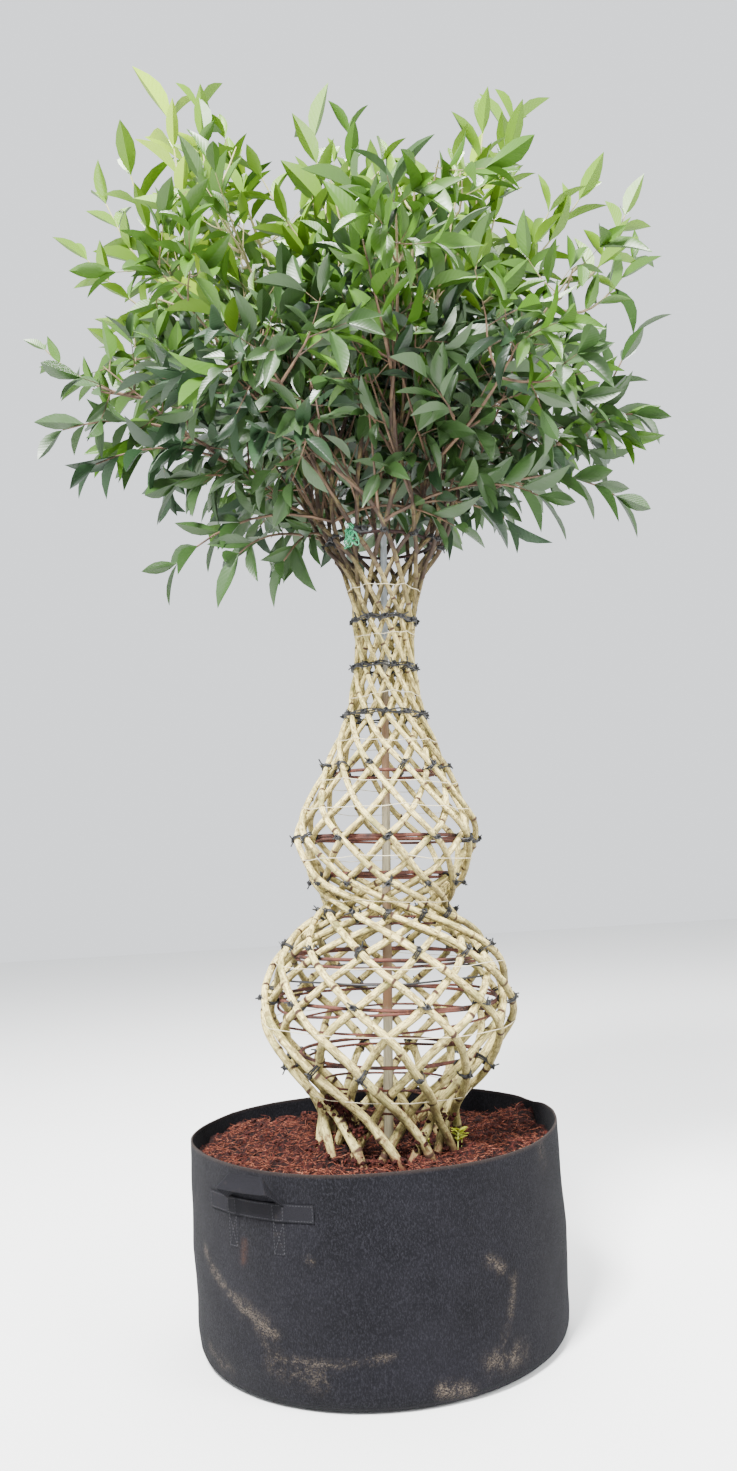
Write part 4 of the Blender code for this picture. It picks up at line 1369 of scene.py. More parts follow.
@dataclass
class Ties:
    """Black wire twisted round the crossings, and the wires that run round the neck."""

    weave: Weave
    wire: SpunFinish = SpunFinish(
        "black_tie_wire", "rusty_iron", (0.010, 0.010, 0.011), (0.004, 0.004, 0.005), 0.55
    )
    rows_deg: tuple[float, ...] = (0.0, 60.0, 105.0, 150.0, 195.0, 240.0, 270.0, 330.0, 375.0, 405.0, 435.0)
    neck_rows_deg: tuple[float, ...] = (60.0, 105.0, 150.0)
    loose_rows_deg: tuple[float, ...] = (390.0,)
    strands: int = 3
    wire_radius: float = 0.0017
    coil_turns: float = 3.0
    coil_points: int = 28
    coil_width: float = 0.011
    ends: Pair = (0.008, 0.018)
    lump_radius: float = 0.0050
    lump_height: float = 0.006
    lump_turns: float = 1.8
    slants: Pair = (-0.7, 0.7)
    bundle_place: Pair = (-112.0, 1.392)
    bundle_strands: int = 9
    seed: int = 53

    def coil(self, size: float, depth: float, slant: float, rng: Random) -> Array:
        """The wire's path round a crossing: x along the row, y up the wall and z outwards.

        Args:
            size: the stems' radius at the crossing.
            depth: how deep the inner stems lie.
            slant: its slant, in radians.
            rng: deals the random values.

        Returns:
            The path.
        """
        t = np.linspace(0.0, 1.0, self.coil_points)
        angle = TURN * self.coil_turns * t + 0.25 * TURN
        half = depth / 2.0 + size * 1.08 + self.wire_radius
        wide = size * 1.25 + self.wire_radius
        x, z = wide * np.cos(angle), half * np.sin(angle) - depth / 2.0
        y = self.coil_width * (t - 0.5) + 0.001 * np.sin(angle * 1.7 + rng.uniform(0.0, TURN))
        c, s = math.cos(slant), math.sin(slant)
        return np.stack([c * x - s * y, s * x + c * y, z], axis=-1)

    def twist(self, size: float, rng: Random) -> Iterator[Array]:
        """The paths of the knot's two free ends, which stand off the crossing.

        Args:
            size: the stems' radius at the crossing.
            rng: deals the random values.

        Yields:
            The path of each end.
        """
        foot = np.array([rng.uniform(-0.3, 0.3) * size, rng.uniform(-0.3, 0.3) * size, size * 1.05])
        for side in (-1.0, 1.0):
            length = rng.uniform(*self.ends)
            way = np.array([side * rng.uniform(0.5, 1.0), rng.uniform(-0.8, 0.8), rng.uniform(0.15, 0.7)])
            way = way / np.linalg.norm(way)
            bend = np.array([rng.uniform(-0.3, 0.3), rng.uniform(-0.5, 0.5), rng.uniform(-0.1, 0.4)]) * length
            t = np.linspace(0.0, 1.0, 5)[:, None]
            yield foot + way * length * t + bend * t**2

    def lump(self, size: float, rng: Random) -> Array:
        """The path of the knot itself: a tight little coil on the crossing's outer side.

        Args:
            size: the stems' radius at the crossing.
            rng: deals the random values.

        Returns:
            The path.
        """
        t = np.linspace(0.0, 1.0, 12)
        angle = TURN * self.lump_turns * t + rng.uniform(0.0, TURN)
        x, y = self.lump_radius * np.cos(angle), self.lump_radius * np.sin(angle)
        return np.stack([x, y, size + self.lump_height * t], axis=-1)

    def tie_crossings(self, heap: Heap, rng: Random) -> None:
        """Ties every crossing of the tied rows.

        Args:
            heap: takes the wires.
            rng: deals the random values.
        """
        weave = self.weave
        for row in self.rows_deg:
            height = float(weave.height(row))
            size, depth = float(weave.stem_radius(height)), float(weave.inner_depth(height))
            for number in range(weave.each_way):
                azimuth = weave.front_deg + weave.pitch_deg * number + row
                middle = weave.at(height, azimuth, 0.0)
                outward, along = weave.facing(height, azimuth), polar(1.0, azimuth + 90.0, 0.0)
                frame = np.stack([along, np.cross(outward, along), outward])
                slant = rng.choice(self.slants) + rng.uniform(-0.2, 0.2)
                paths = [self.coil(size, depth, slant, rng), self.lump(size, rng), *self.twist(size, rng)]
                for path in paths:
                    heap.add_tube(weave.leaned(middle + path @ frame), self.wire_radius, 4)

    def run_round(
        self, heap: Heap, heights: Array, turns: Array, depth: Values, wide: float, sides: int
    ) -> None:
        """Runs one wavy wire all round the trunk.

        Args:
            heap: takes the wires.
            heights: its height at each turn.
            turns: the azimuths of its points.
            depth: how deep it lies.
            wide: a factor on its radius.
            sides: how many sides it has.
        """
        path = self.weave.leaned(self.weave.at(heights, turns, depth))
        heap.add_tube(path, self.wire_radius * wide, sides, closed=True)

    def wind_neck(self, heap: Heap, rng: Random) -> None:
        """Winds the strands of wire outside the neck, and the loose wire inside the lower bulb.

        Args:
            heap: takes the wires.
            rng: deals the random values.
        """
        weave, turns = self.weave, np.linspace(0.0, 360.0, 97)[:-1]
        for row in self.neck_rows_deg:
            height = float(weave.height(row))
            for strand in range(self.strands):
                phase = rng.uniform(0.0, TURN)
                wavy = height + 0.0035 * (strand - 1) + 0.003 * np.sin(np.radians(turns) * 7.0 + phase)
                depth = -weave.stem_radius(height) * 1.1 - 0.0015 * np.cos(np.radians(turns) * 12.0 + phase)
                self.run_round(heap, wavy, turns, depth, 1.0, 4)
        turns = np.linspace(0.0, 360.0, 73)[:-1]
        for row in self.loose_rows_deg:
            height = float(weave.height(row))
            wavy = height + 0.007 * np.sin(np.radians(turns) + 1.0) + 0.002 * np.sin(np.radians(turns) * 5.0)
            depth = weave.inner_depth(height) + weave.stem_radius(height) + self.wire_radius
            self.run_round(heap, wavy, turns, depth, 1.3, 5)

    def curl_bundle(self, heap: Heap, rng: Random) -> None:
        """Curls the spare wire into the bundle at the top ring.

        Args:
            heap: takes the wires.
            rng: deals the random values.
        """
        azimuth, height = self.bundle_place
        for _ in range(self.bundle_strands):
            angle = np.linspace(0.0, TURN * 1.4, 22) + rng.uniform(0.0, TURN)
            middle = self.weave.at(height, azimuth + rng.uniform(-6.0, 6.0), -0.006)
            size = np.array([rng.uniform(0.006, 0.016), 0.008, rng.uniform(0.004, 0.010)])
            curl = np.column_stack([np.cos(angle), np.sin(angle + 0.8), np.sin(angle)]) * size
            heap.add_tube(self.weave.leaned(middle + curl), self.wire_radius, 4)

    def build(self) -> None:
        """Makes all the ties and the wires, joined."""
        rng, heap = Random(self.seed), Heap()
        self.tie_crossings(heap, rng)
        self.wind_neck(heap, rng)
        self.curl_bundle(heap, rng)
        dress(heap.mesh("tie_wires"), self.wire)


@dataclass
class Twine:
    """Thin pale twine drawn round the lattice, and the green twine left at the top ring."""

    weave: Weave
    pale: SpunFinish = SpunFinish(
        "pale_twine", "black_webbing", (0.66, 0.60, 0.42), (0.42, 0.37, 0.24), 0.85
    )
    green: SpunFinish = SpunFinish(
        "green_twine", "black_webbing", (0.030, 0.28, 0.12), (0.012, 0.13, 0.06), 0.7
    )
    heights: tuple[float, ...] = (
        1.278, 1.166, 1.020, 0.910, 0.814, 0.755, 0.641, 0.546, 0.408, 0.274, 0.124,
    )
    radius: float = 0.0008
    sag: float = 0.003
    clump_deg: float = -119.8
    clump_height: float = 1.385
    clump_strands: int = 9
    clump_spread: Curve = ((-0.010, 0.010), (-0.006, 0.006), (-0.01, 0.02))
    clump_curl: float = 0.009
    clump_hang: float = 0.02
    clump_radius: float = 0.0013
    seed: int = 71

    def loop(self, height: float, rng: Random) -> Array:
        """One loop of twine that touches the outer stems and runs straight between them.

        Args:
            height: the height that it lies at.
            rng: deals the random values.

        Returns:
            The loop's path.
        """
        weave = self.weave
        turns = np.linspace(0.0, weave.foot_turn_deg, 400)
        turn = float(np.interp(-height, -weave.height(turns), turns))
        reach = float(weave.radius(height)) + self.radius
        drift = rng.uniform(-0.006, 0.006)
        points = []
        for number in range(weave.each_way):
            azimuth = weave.front_deg + weave.pitch_deg * number + turn
            wave = drift * math.sin(number * 1.3) + rng.uniform(-0.004, 0.004)
            points.append(polar(reach, azimuth, height + wave))
        points = np.array(points)
        middles = (points + np.roll(points, -1, axis=0)) / 2.0
        middles[:, 2] -= self.sag * np.array([rng.uniform(0.0, 1.5) for _ in points])
        return np.stack([points, middles], axis=1).reshape(-1, 3)

    def build(self) -> None:
        """Makes the loops of pale twine and the little tangle of green."""
        weave, rng, heap = self.weave, Random(self.seed), Heap()
        for height in self.heights:
            heap.add_tube(weave.leaned(self.loop(height, rng)), self.radius, 4, closed=True)
        dress(heap.mesh("pale_twine_loops"), self.pale)
        tangle = Heap()
        middle = weave.at(self.clump_height, self.clump_deg, -0.014)
        t, hang = np.linspace(0.0, 1.0, 14)[:, None], np.array([0.0, 0.0, -self.clump_hang])
        for _ in range(self.clump_strands):
            spin = rng.uniform(0.0, TURN)
            waves = (np.cos(9.0 * t + spin), np.sin(7.0 * t + spin), np.sin(11.0 * t + 2.0 * spin))
            start = np.array([rng.uniform(*limits) for limits in self.clump_spread])
            path = middle + start + np.hstack(waves) * self.clump_curl + hang * t
            tangle.add_tube(weave.leaned(path), self.clump_radius, 4)
        dress(tangle.mesh("green_twine_tangle"), self.green)


@dataclass
class Pole:
    """The straight pole on the trunk's axis."""

    weave: Weave
    finish: PoleFinish = PoleFinish()
    radius: float = 0.011
    top_share: float = 0.66
    top: float = 1.460
    foot: float = -0.030
    rows: int = 90
    sides: int = 20

    def build(self) -> None:
        """Makes the pole, thinner towards its top, a little out of round and dented."""
        heights = np.linspace(self.foot, self.top, self.rows)
        shares = np.interp(heights, (self.foot, 0.4, self.top), (1.0, 1.0, self.top_share))
        profile = [(self.radius * float(share), float(z)) for share, z in zip(shares, heights)]
        profile.append((self.radius * self.top_share * 0.86, self.top + 0.0012))
        obj = draw_up("centre_pole", self.sides, profile, True)
        points = places_of(obj)
        dents = rough(points * np.array([1.0, 1.0, 0.3]), 55.0)
        points[:, :2] *= 1.0 + 0.045 * dents[:, None]
        move_points(obj, self.weave.leaned(points))
        round_edges(obj, 0.0015, 50.0)
        dress(obj, self.finish, ["pole"])


@dataclass(frozen=True)
class Smear:
    """A rub of dust on the felt: points as (azimuth, height), its half width and its strength."""

    points: Curve
    width: float
    strength: float = 1.0


@dataclass
class GrowBag:
    """The felt bag: a soft round wall with a rubbed hem, a lapped seam and creases at its foot."""

    finish: FeltFinish = FeltFinish()
    rim_radius: float = 0.410
    belly_radius: float = 0.414
    foot_radius: float = 0.405
    height: float = 0.438
    edge_round: float = 0.030
    felt: float = 0.004
    sides: int = 300
    rows: int = 58
    unevenness: float = 0.0032
    hem_wave: float = 0.0035
    seam_deg: float = 148.0
    seam_width_deg: float = 0.9
    seam_rise: float = 0.0030
    fold_deg: float = 23.0
    fold_from: float = 0.30
    fold_rise: float = 0.006
    slump_deg: float = -138.0
    slump_width_deg: float = 26.0
    roll: Triple = (0.052, 0.030, 0.026)
    crease: Triple = (0.105, 0.05, 0.010)
    smears: tuple[Smear, ...] = (
        Smear(((-151.5, 0.256), (-146.0, 0.222), (-135.0, 0.184), (-121.0, 0.138)), 0.009, 1.0),
        Smear(((-132.0, 0.172), (-124.0, 0.146)), 0.017, 0.75),
        Smear(((-124.0, 0.118), (-117.0, 0.096), (-104.0, 0.094), (-88.0, 0.106)), 0.006, 0.7),
        Smear(((-121.0, 0.085), (-108.0, 0.068)), 0.020, 0.45),
        Smear(((-60.0, 0.252), (-55.5, 0.228)), 0.008, 0.9),
        Smear(((-52.0, 0.210), (-51.5, 0.192), (-53.3, 0.135)), 0.007, 0.75),
        Smear(((-55.0, 0.115), (-56.5, 0.085)), 0.009, 0.35),
        Smear(((-60.0, 0.064), (-50.0, 0.060)), 0.018, 0.9),
        Smear(((-75.5, 0.036), (-67.5, 0.024)), 0.012, 1.2),
        Smear(((-33.5, 0.430), (-32.0, 0.385)), 0.014, 0.45),
        Smear(((-109.5, 0.284), (-108.0, 0.278)), 0.004, 1.1),
        Smear(((-150.0, 0.060), (-140.0, 0.040)), 0.014, 0.5),
        Smear(((-12.0, 0.300), (4.0, 0.270), (12.0, 0.215)), 0.012, 0.6),
        Smear(((40.0, 0.090), (62.0, 0.075)), 0.018, 0.7),
        Smear(((95.0, 0.260), (112.0, 0.200), (118.0, 0.150)), 0.012, 0.6),
        Smear(((150.0, 0.110), (172.0, 0.090)), 0.016, 0.6),
    )
    stains: tuple[Smear, ...] = (Smear(((-130.0, 0.298), (-130.8, 0.262)), 0.007, 1.2),)

    def swing(self, azimuth: Array, height: Array) -> Array:
        """How far the soft wall stands out from, or in from, its even shape.

        Args:
            azimuth: the azimuth, in degrees.
            height: the height.

        Returns:
            The distances, outwards.
        """
        around = polar(self.belly_radius, azimuth, height)
        broad = rough(around * np.array([1.0, 1.0, 1.4]), 4.2, 2)
        fine = rough(around * np.array([1.0, 1.0, 0.7]), 17.0, 2)
        out = self.unevenness * (broad + 0.30 * fine)
        slump = bell(swung(azimuth - self.slump_deg), self.slump_width_deg)
        humps = (self.roll, self.crease)
        roll, crease = (bell(height - low - lift * slump, wide) for low, lift, wide in humps)
        out += 0.0045 * roll * (0.35 + 0.65 * slump) - 0.0026 * crease * slump
        out += self.seam_rise * bell(swung(azimuth - self.seam_deg), self.seam_width_deg)
        fold = swung(azimuth - self.fold_deg - 10.0 * (height - self.height))
        high = np.clip((height - self.fold_from) / 0.10, 0.0, 1.0)
        return out + self.fold_rise * high * (bell(fold, 2.6) - 0.6 * bell(fold + 5.0, 2.2))

    def wall_radius(self, azimuth: Array, height: Array) -> Array:
        """The outer radius of the wall above its rounded foot.

        Args:
            azimuth: the azimuth, in degrees.
            height: the height.

        Returns:
            The radii.
        """
        even = np.interp(
            height, (self.edge_round, self.height / 2.0, self.height),
            (self.foot_radius, self.belly_radius, self.rim_radius),
        )
        return even + self.swing(azimuth, height)

    def hem_lift(self, azimuth: Array) -> Array:
        """How far the hem rises and falls round the bag.

        Args:
            azimuth: the azimuth, in degrees.

        Returns:
            The distances, upwards.
        """
        around = np.radians(azimuth)
        fold = self.fold_rise * bell(swung(azimuth - self.fold_deg), 4.0)
        return self.hem_wave * (np.sin(2.0 * around + 0.6) + 0.5 * np.sin(5.0 * around + 2.0)) - fold

    def rubbed(self, smears: Sequence[Smear], azimuth: Array, height: Array) -> Array:
        """How strongly the smears cover each point of the wall.

        Args:
            smears: the smears.
            azimuth: the azimuth, in degrees.
            height: the height.

        Returns:
            The strengths, from 0.
        """
        cover = np.zeros(len(azimuth))
        for smear in smears:
            ends = np.array(smear.points)
            for (a0, z0), (a1, z1) in zip(ends, ends[1:]):
                x = np.radians(swung(azimuth - a0)) * self.belly_radius
                y = height - z0
                run = np.array([math.radians(a1 - a0) * self.belly_radius, z1 - z0])
                t = np.clip((x * run[0] + y * run[1]) / run.dot(run), 0.0, 1.0)
                gap = np.hypot(x - t * run[0], y - t * run[1])
                cover = np.maximum(cover, smear.strength * bell(gap, smear.width))
        return cover

    def build(self) -> None:
        """Draws the wall up from its foot, shapes it, thickens it inwards and marks it."""
        flat = self.foot_radius - self.edge_round
        profile = [(flat * 0.6, 0.0005), (flat, 0.0)]
        for step in range(1, 7):
            angle = TURN / 4.0 * step / 6
            out, up = self.edge_round * math.sin(angle), self.edge_round * (1.0 - math.cos(angle))
            profile.append((flat + out, up))
        for height in np.linspace(self.edge_round, self.height, self.rows)[1:]:
            profile.append((self.belly_radius, float(height)))
        obj = draw_up("felt_grow_bag", self.sides, profile, False)
        points = places_of(obj)
        azimuth = azimuths(points)
        radius, height = np.hypot(points[:, 0], points[:, 1]), points[:, 2]
        wall = self.wall_radius(azimuth, np.maximum(height, self.edge_round))
        share = np.clip(height / self.edge_round, 0.0, 1.0)
        low = radius + share * (wall - self.foot_radius)
        radius = np.where(height < self.edge_round - 1e-6, low, wall)
        lifted = height + self.hem_lift(azimuth) * np.clip((height - 0.25) / (self.height - 0.25), 0.0, 1.0)
        move_points(obj, polar(radius, azimuth, lifted))
        thicken(obj, self.felt, -1.0)
        points = places_of(obj)
        azimuth = azimuths(points)
        height = points[:, 2]
        hem = np.clip(1.0 - (self.height + self.hem_lift(azimuth) - height) / 0.006, 0.0, 1.0)
        add_mark(obj.data, "dust", self.rubbed(self.smears, azimuth, height))
        add_mark(obj.data, "stain", self.rubbed(self.stains, azimuth, height))
        add_mark(obj.data, "hem", hem)
        smooth_but(obj.data, 70.0)
        dress(obj, self.finish, ["grow_bag"])


@dataclass
class Handle:
    """One webbing handle: a sewn strap, two legs sewn under it and a loop that stands off."""

    bag: GrowBag
    node: str
    turned_deg: float
    finish: WebbingFinish = WebbingFinish()
    thread: SpunFinish = SpunFinish(
        "black_thread", "black_webbing", (0.019, 0.019, 0.023), (0.008, 0.008, 0.010), 0.75
    )
    thickness: float = 0.0025
    strap_deg: Pair = (-145.0, -107.0)
    strap_heights: Pair = (0.348, 0.382)
    legs_deg: Pair = (-134.0, -117.6)
    leg_width_deg: float = 4.0
    leg_bottom: float = 0.285
    grip_bottom: Pair = (0.374, 0.406)
    grip_top: Pair = (0.398, 0.434)
    grip_reach: float = 0.040
    grip_tilt: float = 0.020
    grip_narrowing: float = 0.34
    grip_ramp: float = 0.24
    grid: float = 0.004
    stitch_length: float = 0.0040
    stitch_gap: float = 0.0022
    stitch_radius: float = 0.00055
    margin: float = 0.0032

    def at(self, azimuth: Array, height: Array, off: Values) -> Array:
        """A point that stands this far off the bag's wall."""
        turned = azimuth + self.turned_deg
        return polar(self.bag.wall_radius(turned, height) + off, turned, height)

    def strip(self, name: str, length: float, width: float, lie: Lay) -> Piece:
        """Bends a flat grid of webbing onto the bag.

        Args:
            name: the object's name.
            length: its length.
            width: its width.
            lie: gives the azimuth, the height and the distance from the wall of each place on it.

        Returns:
            The strip with its thickness.
        """
        deselect_all()
        cells = [max(6, round(size / self.grid)) for size in (length, width)]
        bpy.ops.mesh.primitive_grid_add(x_subdivisions=cells[0], y_subdivisions=cells[1], size=1.0)
        obj = bpy.context.object
        obj.name = obj.data.name = name
        share = places_of(obj)[:, :2] + 0.5
        move_points(obj, self.at(*lie(share[:, 0], share[:, 1])))
        flat = np.stack([share[:, 0] * length, share[:, 1] * width, np.zeros(len(share))], axis=-1)
        add_mark(obj.data, "weave", flat)
        thicken(obj, self.thickness, 1.0)
        round_edges(obj, 0.0007, 60.0)
        smooth_but(obj.data, 50.0)
        return obj

    def lay_strap(self, along: Array, across: Array) -> Places:
        """Where the strap lies: round the wall and over the legs.

        Args:
            along: the shares of its length.
            across: the shares of its width.

        Returns:
            The azimuths, the heights and the distances from the wall.
        """
        azimuth = np.interp(along, (0.0, 1.0), self.strap_deg)
        lift = np.zeros(len(azimuth))
        for leg in self.legs_deg:
            lift = np.maximum(lift, np.clip(1.6 - np.abs(azimuth - leg) * 2.0 / self.leg_width_deg, 0.0, 1.0))
        height = np.interp(across, (0.0, 1.0), self.strap_heights)
        return azimuth, height, 0.0003 + self.thickness * 0.8 * lift

    def lay_leg(self, leg: float) -> Lay:
        """Where a leg lies: upright on the wall.

        Args:
            leg: the leg's azimuth.

        Returns:
            The rule that places its points.
        """
        def lie(along: Array, across: Array) -> Places:
            """Places the leg's points."""
            azimuth = leg + (across - 0.5) * self.leg_width_deg
            height = self.leg_bottom + along * (self.strap_heights[1] - 0.002 - self.leg_bottom)
            return azimuth, height, np.full(len(along), 0.0002)

        return lie

    def lay_loop(self, along: Array, across: Array) -> Places:
        """Where the loop lies: up off the strap at its ends, and leaning back to the bag at its top.

        Args:
            along: the shares of its length.
            across: the shares of its width.

        Returns:
            The azimuths, the heights and the distances from the wall.
        """
        half = self.leg_width_deg / 2.0
        low, high = self.legs_deg[0] - half, self.legs_deg[1] + half
        rise = np.clip((1.0 - np.abs(2.0 * along - 1.0)) / self.grip_ramp, 0.0, 1.0)
        rise = rise * rise * (3.0 - 2.0 * rise)
        azimuth = low + (high - low) * along
        azimuth += self.grip_narrowing * across * ((low + high) / 2.0 - azimuth)
        bottom = self.grip_bottom[0] + (self.grip_bottom[1] - self.grip_bottom[0]) * rise
        top = self.grip_top[0] + (self.grip_top[1] - self.grip_top[0]) * rise
        off = self.thickness + (self.grip_reach - self.grip_tilt * across) * rise
        return azimuth, bottom + (top - bottom) * across, off

    def seam(self, corners: Curve, closed: bool, lift: float) -> Iterator[tuple[Array, Array]]:
        """Deals stitches along a line of (azimuth, height) corners.

        Args:
            corners: the corners of the line.
            closed: whether it returns to its first corner.
            lift: how far off the wall the thread lies.

        Yields:
            The two ends of each stitch.
        """
        line = list(corners) + ([corners[0]] if closed else [])
        metre = math.radians(1.0) * self.bag.belly_radius
        for (a0, z0), (a1, z1) in zip(line, line[1:]):
            length = math.hypot((a1 - a0) * metre, z1 - z0)
            count = max(1, round(length / (self.stitch_length + self.stitch_gap)))
            for i in range(count):
                ends = np.array([i, i + self.stitch_length / (self.stitch_length + self.stitch_gap)]) / count
                azimuth, height = a0 + (a1 - a0) * ends, z0 + (z1 - z0) * ends
                first, last = self.at(azimuth, height, lift)
                yield first, last

    def stitches(self) -> Heap:
        """All the handle's stitches, each a small spindle of thread.

        Returns:
            The stitches.
        """
        heap = Heap()
        edge = math.degrees(self.margin / self.bag.belly_radius)
        low, high = self.strap_heights[0] + self.margin, self.strap_heights[1] - self.margin
        left, right = self.strap_deg[0] + edge, self.strap_deg[1] - edge
        lines = [(((left, low), (right, low), (right, high), (left, high)), True, self.thickness)]
        for leg in self.legs_deg:
            one, other = leg - self.leg_width_deg / 2 + edge, leg + self.leg_width_deg / 2 - edge
            foot, head = self.leg_bottom + self.margin, self.strap_heights[0] - 0.001
            lines.append((((one, head), (one, foot), (other, foot), (other, head)), False, self.thickness))
            lines.append((((one, foot), (other, head)), False, self.thickness))
            lines.append((((other, foot), (one, head)), False, self.thickness))
            lines.append((((one, low), (other, low), (other, high), (one, high)), True, self.thickness * 2.0))
        for corners, closed, lift in lines:
            for first, last in self.seam(corners, closed, lift + 0.0002):
                t = np.array([0.0, 0.25, 0.75, 1.0])[:, None]
                sizes = self.stitch_radius * np.array([0.25, 1.0, 1.0, 0.25])
                heap.add_tube(first + (last - first) * t, sizes, 5)
        return heap

    def build(self) -> None:
        """Makes the strap, the legs, the loop and the stitches."""
        webbing, metre = self.finish.material(), math.radians(1.0) * self.bag.belly_radius
        low, high = self.strap_heights
        strap = (self.strap_deg[1] - self.strap_deg[0]) * metre
        loop = (self.legs_deg[1] - self.legs_deg[0] + self.leg_width_deg) * metre
        parts = [
            (self.strip(f"{self.node}_strap", strap, high - low, self.lay_strap), (self.node,)),
            (self.strip(f"{self.node}_loop", loop, high - low, self.lay_loop), ()),
        ]
        for i, leg in enumerate(self.legs_deg, start=1):
            piece = self.strip(
                f"{self.node}_leg_{i}", high - self.leg_bottom, self.leg_width_deg * metre, self.lay_leg(leg)
            )
            parts.append((piece, ()))
        for piece, nodes in parts:
            show(piece, self.finish.slot, [webbing], nodes)
        thread = self.stitches().mesh(f"{self.node}_stitches")
        dress(thread, self.thread)


@dataclass
class CoirBed:
    """The coir in the bag: a rough mound with loose crumbs and fibres on it."""

    bag: GrowBag
    weave: Weave
    bed: CoirFinish = CoirFinish("moist_coir_bed")
    loose: CoirFinish = CoirFinish(
        "loose_coir", dark=(0.0045, 0.0010, 0.0008), middle=(0.032, 0.0062, 0.0042)
    )
    fibre: CoirFinish = CoirFinish(
        "coir_fibres", dark=(0.040, 0.0095, 0.0060), middle=(0.140, 0.037, 0.021), light=(0.37, 0.155, 0.090),
    )
    top: float = 0.380
    at_wall: float = 0.386
    bank: float = 0.011
    bank_deg: float = 150.0
    sides: int = 420
    rings: int = 110
    crumbs: int = 3600
    fibres: int = 5600
    foot_crumbs: int = 60
    heaps: tuple[Four, ...] = (
        (-0.080, -0.050, 0.045, 0.050), (-0.100, 0.060, 0.060, 0.035), (0.110, 0.100, 0.060, 0.030),
        (0.350, 0.170, 0.060, 0.030), (-0.300, 0.160, 0.090, 0.012), (-0.190, -0.110, 0.050, 0.012),
        (0.210, -0.090, 0.040, 0.012), (0.010, -0.060, 0.060, -0.010),
    )
    lodgings: tuple[tuple[float, float, int], ...] = (
        (-143.0, 0.100, 150), (-131.0, 0.084, 130), (-118.0, 0.058, 90),
        (-38.0, 0.072, 80), (-62.0, 0.030, 50), (150.0, 0.070, 90),
    )
    lodged_depth: float = 0.012
    lodged_spread: Triple = (0.014, 0.009, 0.010)
    rooted: float = -0.008
    rooted_spread: Triple = (0.012, 0.012, 0.006)
    seed: int = 17

    def surface(self, points: Array) -> Array:
        """The height of the rough surface under each point.

        Args:
            points: the points.

        Returns:
            The heights.
        """
        radius = np.hypot(points[:, 0], points[:, 1])
        azimuth = azimuths(points)
        level = np.interp(radius, (0.0, 0.30, 0.41), (self.top, self.top, self.at_wall))
        level += self.bank * bell(swung(azimuth - self.bank_deg), 50.0) * np.clip(radius / 0.35, 0.0, 1.0)
        for x, y, wide, tall in self.heaps:
            level += tall * np.exp(-((points[:, 0] - x) ** 2 + (points[:, 1] - y) ** 2) / wide**2)
        flat = np.column_stack([points[:, :2], np.zeros(len(points))])
        return level + 0.0075 * rough(flat, 11.0, 2) + self.relief(flat)

    def relief(self, flat: Array) -> Array:
        """How far the clumps stand up, or the pits go down, at each point."""
        return 0.0100 * rough(flat + 3.1, 36.0, 3) + 0.0075 * rough(flat + 7.7, 105.0, 2)

    def build(self) -> None:
        """Makes the bed, the crumbs and the fibres."""
        wall = self.bag.belly_radius - self.bag.felt - 0.0035
        profile = [(wall - 0.01, 0.30), (wall, 0.31), (wall, 0.35)]
        profile += [(float(wall * share), self.top) for share in np.linspace(1.0, 0.012, self.rings)]
        obj = draw_up("coir_bed", self.sides, profile, True)
        points = places_of(obj)
        top = points[:, 2] > 0.365
        points[top, 2] = self.surface(points[top])
        azimuth = azimuths(points)
        radius = np.hypot(points[:, 0], points[:, 1])
        inner = self.bag.wall_radius(azimuth, np.clip(points[:, 2], 0.1, self.bag.height))
        inner = inner - self.bag.felt - 0.0006
        points[:, :2] *= (np.minimum(radius * inner / wall, inner) / np.maximum(radius, 1e-6))[:, None]
        move_points(obj, points)
        smooth_but(obj.data, 80.0)
        relief = self.relief(np.column_stack([points[:, :2], np.zeros(len(points))]))
        # How low each point lies between the clumps, for the painted shade in the pits.
        add_mark(obj.data, "painted_pit_shade", np.clip(0.52 - relief / 0.008, 0.0, 0.95))
        dress(obj, self.bed, ["soil"])
        rng = np.random.default_rng(self.seed)
        dress(self.crumb_heap(rng).mesh("coir_crumbs", 30.0), self.loose)
        dress(self.fibre_heap(rng).mesh("coir_fibres"), self.fibre)

    def scattered(self, rng: np.random.Generator, count: int, edge: float) -> Array:
        """Points scattered over the surface, kept this far off the felt.

        Args:
            rng: deals the random values.
            count: how many there are.
            edge: the distance from the felt.

        Returns:
            The points.
        """
        radius = (self.bag.rim_radius - self.bag.felt - 0.004 - edge) * np.sqrt(rng.random(count))
        points = polar(radius, rng.uniform(0.0, 360.0, count), 0.0)
        points[:, 2] = self.surface(points)
        return points

    def lodged(self, rng: np.random.Generator) -> Iterator[Array]:
        """Points of the coir that lies lodged between the stems and heaped against their feet.

        Args:
            rng: deals the random values.

        Yields:
            The points of each heap.
        """
        for azimuth, height, count in self.lodgings:
            middle = self.weave.leaned(self.weave.at(height, azimuth, self.lodged_depth))
            yield middle + rng.normal(size=(count, 3)) * self.lodged_spread
        turns = np.arange(420.0, 495.0)
        turn = float(np.interp(-self.rooted, -self.weave.height(turns), turns))
        for number in range(self.weave.each_way):
            for sense, depth in ((1.0, 0.0), (-1.0, float(self.weave.inner_depth(self.rooted)))):
                azimuth = self.weave.front_deg + self.weave.pitch_deg * number + sense * turn
                middle = self.weave.leaned(self.weave.at(self.rooted, azimuth, depth))
                yield middle + rng.normal(size=(self.foot_crumbs, 3)) * self.rooted_spread

